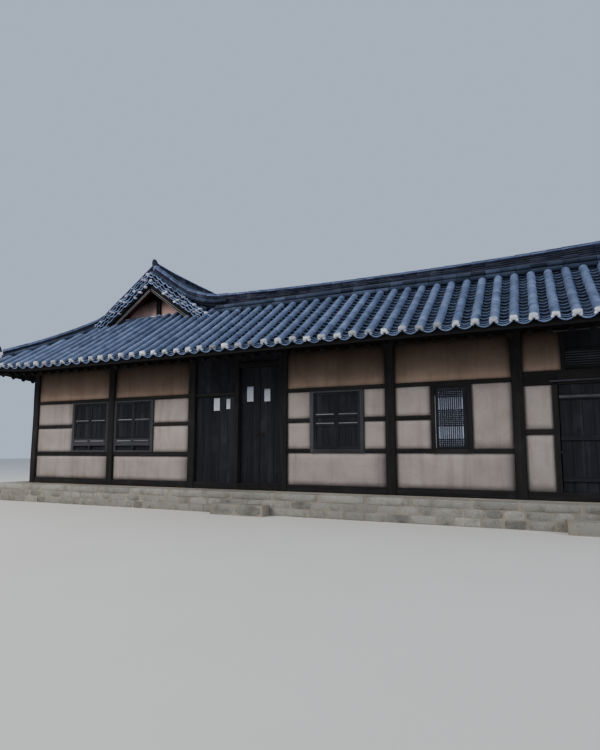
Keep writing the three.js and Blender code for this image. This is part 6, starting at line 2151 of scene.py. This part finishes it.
@dataclass
class StoneBase:
    """Low stone base: two courses of squared stones and long cap slabs."""

    reach: float = 0.62
    courses: tuple[tuple[Span, float, float, float], ...] = (
        ((0.0, 0.16), 0.414, 0.2, 0.012), ((0.155, 0.315), 0.36, 0.2, 0.008),
        ((0.31, BASE_TOP + 0.012), 0.95, 0.34, 0.02),
    )
    stray: float = 0.12
    joint: Span = (0.012, 0.008)
    step: tuple[Span, float, float, float] = ((0.0, 0.23), 0.7, 0.3, 0.01)
    steps: tuple[Span, ...] = ((GATE[0] - 0.1, GATE[1] + 0.1), STORE)

    def corners(self) -> list[Span]:
        """Outline of the base, anticlockwise."""
        side, front = WALL_X + self.reach, FRONT_Y - self.reach
        inner_y, east = RANGE_BACK_Y + self.reach, WING_EAST_X + self.reach
        back = WING_BACK_Y + self.reach
        return [(-side, front), (side, front), (side, inner_y), (east, inner_y), (east, back), (-side, back)]

    def row(
        self, pile: Pile, start: Span, end: Span, z: Span, long: float, deep: float, proud: float,
    ) -> None:
        """One course of stones between two corners, set into the base's face."""
        first, along, length = heading(start, end)
        inward = np.array([-along[1], along[0]])
        count = max(1, round(length / long))
        edges = np.linspace(0, length, count + 1)
        edges[1:-1] += pile.random.normal(0, long * self.stray, count - 1)
        for left, right in zip(edges[:-1], edges[1:]):
            middle = first + along * (left + right) / 2 + inward * (deep / 2 - proud)
            plan = np.abs(along) * (right - left - self.joint[0]) + np.abs(inward) * deep
            size = np.array([plan[0], plan[1], z[1] - z[0] - self.joint[1]])
            pile.lump((*middle, (z[0] + z[1]) / 2), size, power=9.0, rough=0.006, steps=4)

    def build(self) -> None:
        """Makes the stones of the base and of its steps."""
        pile = Pile(420)
        corners = self.corners()
        for start, end in zip(corners, corners[1:] + corners[:1]):
            for course in self.courses:
                self.row(pile, start, end, *course)
        front = FRONT_Y - self.reach - self.step[2]
        for left, right in self.steps:
            self.row(pile, (left, front), (right, front), *self.step)
        pile.make("base_stones", Surfaces.GRANITE)


@dataclass(frozen=True)
class View:
    """Camera at the photograph's eye."""

    eye: Point = (5.43, -14.30, 1.35)
    yaw: float = 24.09
    pitch: float = 6.58
    lens: float = 24.96
    shift: float = 0.02

    def build(self) -> None:
        """Adds the camera and makes it the scene's."""
        data = bpy.data.cameras.new("view")
        data.lens, data.sensor_width, data.shift_y = self.lens, 36.0, self.shift
        data.clip_end = 300.0
        camera = bpy.data.objects.new("view", data)
        camera.location = self.eye
        camera.rotation_euler = (math.radians(90 + self.pitch), 0.0, math.radians(self.yaw))
        bpy.context.scene.collection.objects.link(camera)
        bpy.context.scene.camera = camera


@dataclass(frozen=True)
class Lamp:
    """Square soft light turned to the house."""

    name: str
    place: Point
    size: float
    power: float
    color: Color
    aim: Point = (0.0, -2.0, 2.5)

    def build(self) -> None:
        """Adds the lamp to the scene."""
        data = bpy.data.lights.new(self.name, "AREA")
        data.shape, data.size, data.energy, data.color = "SQUARE", self.size, self.power, self.color
        lamp = bpy.data.objects.new(self.name, data)
        lamp.location = self.place
        way = Vector(self.aim) - Vector(self.place)
        lamp.rotation_euler = way.to_track_quat("-Z", "Y").to_euler()
        bpy.context.scene.collection.objects.link(lamp)


@dataclass(frozen=True)
class Studio:
    """Pale floor, soft sky and three lamps."""

    size: float = 140.0
    floor_colors: tuple[str, str] = ("c9c4ba", "d6d1c8")
    floor_patch: float = 0.4
    sky: Color = (0.62, 0.74, 0.95)
    sky_strength: float = 0.75
    lamps: tuple[Lamp, ...] = (
        Lamp("key", (-14.0, -20.0, 18.0), size=14.0, power=5200.0, color=(1.0, 0.96, 0.9)),
        Lamp("fill", (20.0, -12.0, 12.0), size=12.0, power=1600.0, color=(0.88, 0.94, 1.0)),
        Lamp("back", (4.0, 22.0, 16.0), size=12.0, power=2200.0, color=(0.9, 0.95, 1.0)),
    )

    def floor(self) -> None:
        """Adds the plain floor."""
        half = self.size / 2
        corners = [(-half, -half, 0), (half, -half, 0), (half, half, 0), (-half, half, 0)]
        mesh = bpy.data.meshes.new("studio_floor")
        mesh.from_pydata(corners, [], [(0, 1, 2, 3)])
        graph = Graph("studio_floor")
        place = graph.add("ShaderNodeTexCoord").outputs["Object"]
        color = graph.mix(graph.noise(place, self.floor_patch, detail=3.0), *self.floor_colors)
        shader = graph.add("ShaderNodeBsdfPrincipled", {"Base Color": color, "Roughness": 0.95})
        graph.add("ShaderNodeOutputMaterial", {"Surface": shader.outputs["BSDF"]})
        mesh.materials.append(graph.material)
        floor = bpy.data.objects.new("studio_floor", mesh)
        bpy.context.scene.collection.objects.link(floor)

    def build(self) -> None:
        """Adds the floor, the sky and the lamps."""
        self.floor()
        world = bpy.data.worlds.new("sky")
        world.use_nodes = True
        background = world.node_tree.nodes["Background"]
        background.inputs["Color"].default_value = (*self.sky, 1.0)
        background.inputs["Strength"].default_value = self.sky_strength
        bpy.context.scene.world = world
        for lamp in self.lamps:
            lamp.build()


CARRIED = {
    Surfaces.EARTH: ("stone_base",),
    Surfaces.FLOOR: ("wing_floor", "range_floor"),
    Surfaces.BEAM: ("wing_roof_frame", "range_roof_frame"),
    Surfaces.WING_GABLE: ("wing_front_gable", "wing_back_gable"),
    Surfaces.RANGE_GABLE: ("range_end_gable",),
    Surfaces.SOFFIT: (
        "front_roof", "range_end_roof", "range_back_roof",
        "wing_east_roof", "wing_back_roof", "wing_west_roof",
    ),
}


def dress_nodes() -> None:
    """Gives every carried-over node its own finish."""
    for finish, nodes in CARRIED.items():
        for node in nodes:
            piece = bpy.data.objects[node]
            piece.data.materials.clear()
            piece.data.materials.append(finish.material())


def hip_corners() -> dict[str, tuple]:
    """Hip and valley beams by the slope that they are built with."""
    return {
        "front_roof": (
            ((-EAVE_X, -EAVE_Y), (1, 1), RANGE_HALF, True), ((EAVE_X, -EAVE_Y), (-1, 1), RANGE_GABLE, True),
        ),
        "range_back_roof": (
            ((EAVE_X, RANGE_BACK_EAVE), (-1, -1), RANGE_GABLE, True),
            ((WING_EAST_EAVE, RANGE_BACK_EAVE), (-1, -1), RANGE_HALF, False),
        ),
        "wing_back_roof": (
            ((WING_EAST_EAVE, EAVE_Y), (-1, -1), RANGE_HALF, True),
            ((-EAVE_X, EAVE_Y), (1, -1), RANGE_HALF, True),
        ),
    }


def build_roof() -> None:
    """Builds tiles, rafters, gables and ridges."""
    hips = hip_corners()
    for number, slope in enumerate(slopes()):
        RoofTiles(slope, 10 + number).build()
        node = slope.name.replace("_roof", "_rafters")
        Rafters(slope, 30 + number, node, hips.get(slope.name, ())).build()
    Valley().build()
    wall_y, wall_x = EAVE_Y - RANGE_HALF, EAVE_X - RANGE_GABLE
    fall, end_fall = WING_HALF - WING_VERGE, RANGE_HALF - RANGE_VERGE
    foot, end_foot = float(roof_top(RANGE_HALF)), float(roof_top(RANGE_GABLE))
    Gable("wing_front", 100, Turn(WING_RIDGE_X, -wall_y, 2), WING_HALF, fall, foot).build()
    Gable("wing_back", 110, Turn(WING_RIDGE_X, wall_y, 0), WING_HALF, fall, foot).build()
    Gable("range_end", 120, Turn(wall_x, RANGE_RIDGE_Y, 3), RANGE_HALF, end_fall, end_foot).build()
    Ridges().build()


def build_leaves() -> None:
    """Builds the boarded window leaves, in pairs."""
    top, number = LINTEL[0] - JAMB / 2, 0
    for name, windows, foot, rails, lath in (
        ("wing_window", WING_WINDOWS, WING_WINDOW_FOOT + FAR_PANEL + JAMB, (0.45,), WING_LATH),
        ("range_window", (LEAF_WINDOW,), WINDOW_SILL[1], (0.4, 0.56), 0.0),
    ):
        for count, x in enumerate(windows):
            label = name if len(windows) == 1 else f"{name}_{count + 1}"
            left, right = inset(x, JAMB)
            middle = (left + right) / 2
            for leaf, span in enumerate(((left, middle), (middle, right))):
                WindowLeaf(f"{label}_leaf_{leaf + 1}", 310 + number, span, (foot, top), rails, lath).build()
                number += 3


def build_walls() -> None:
    """Builds walls, windows, doors and the base."""
    for wall in walls():
        wall.build()
    build_leaves()
    LatticeWindow().build()
    slips = (Slip((-0.625, -0.46), (2.47, 2.82)), Slip((-0.17, -0.02), (2.46, 2.75)))
    Doorway("gate", 340, GATE, GATE_LINTEL, True, slips=slips).build()
    Doorway("store", 370, STORE, DOOR_LINTEL, False, worn=(0.88,)).build()
    for piece in (StoreFront(), GateBay(), PassageHead(), StoneBase()):
        piece.build()


def main() -> None:
    """Builds the house's looks over its frame."""
    logging.basicConfig(level=logging.INFO, format="%(message)s")
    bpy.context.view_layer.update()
    dress_nodes()
    build_roof()
    build_walls()
    Studio().build()
    View().build()


if __name__ == "__main__":
    main()
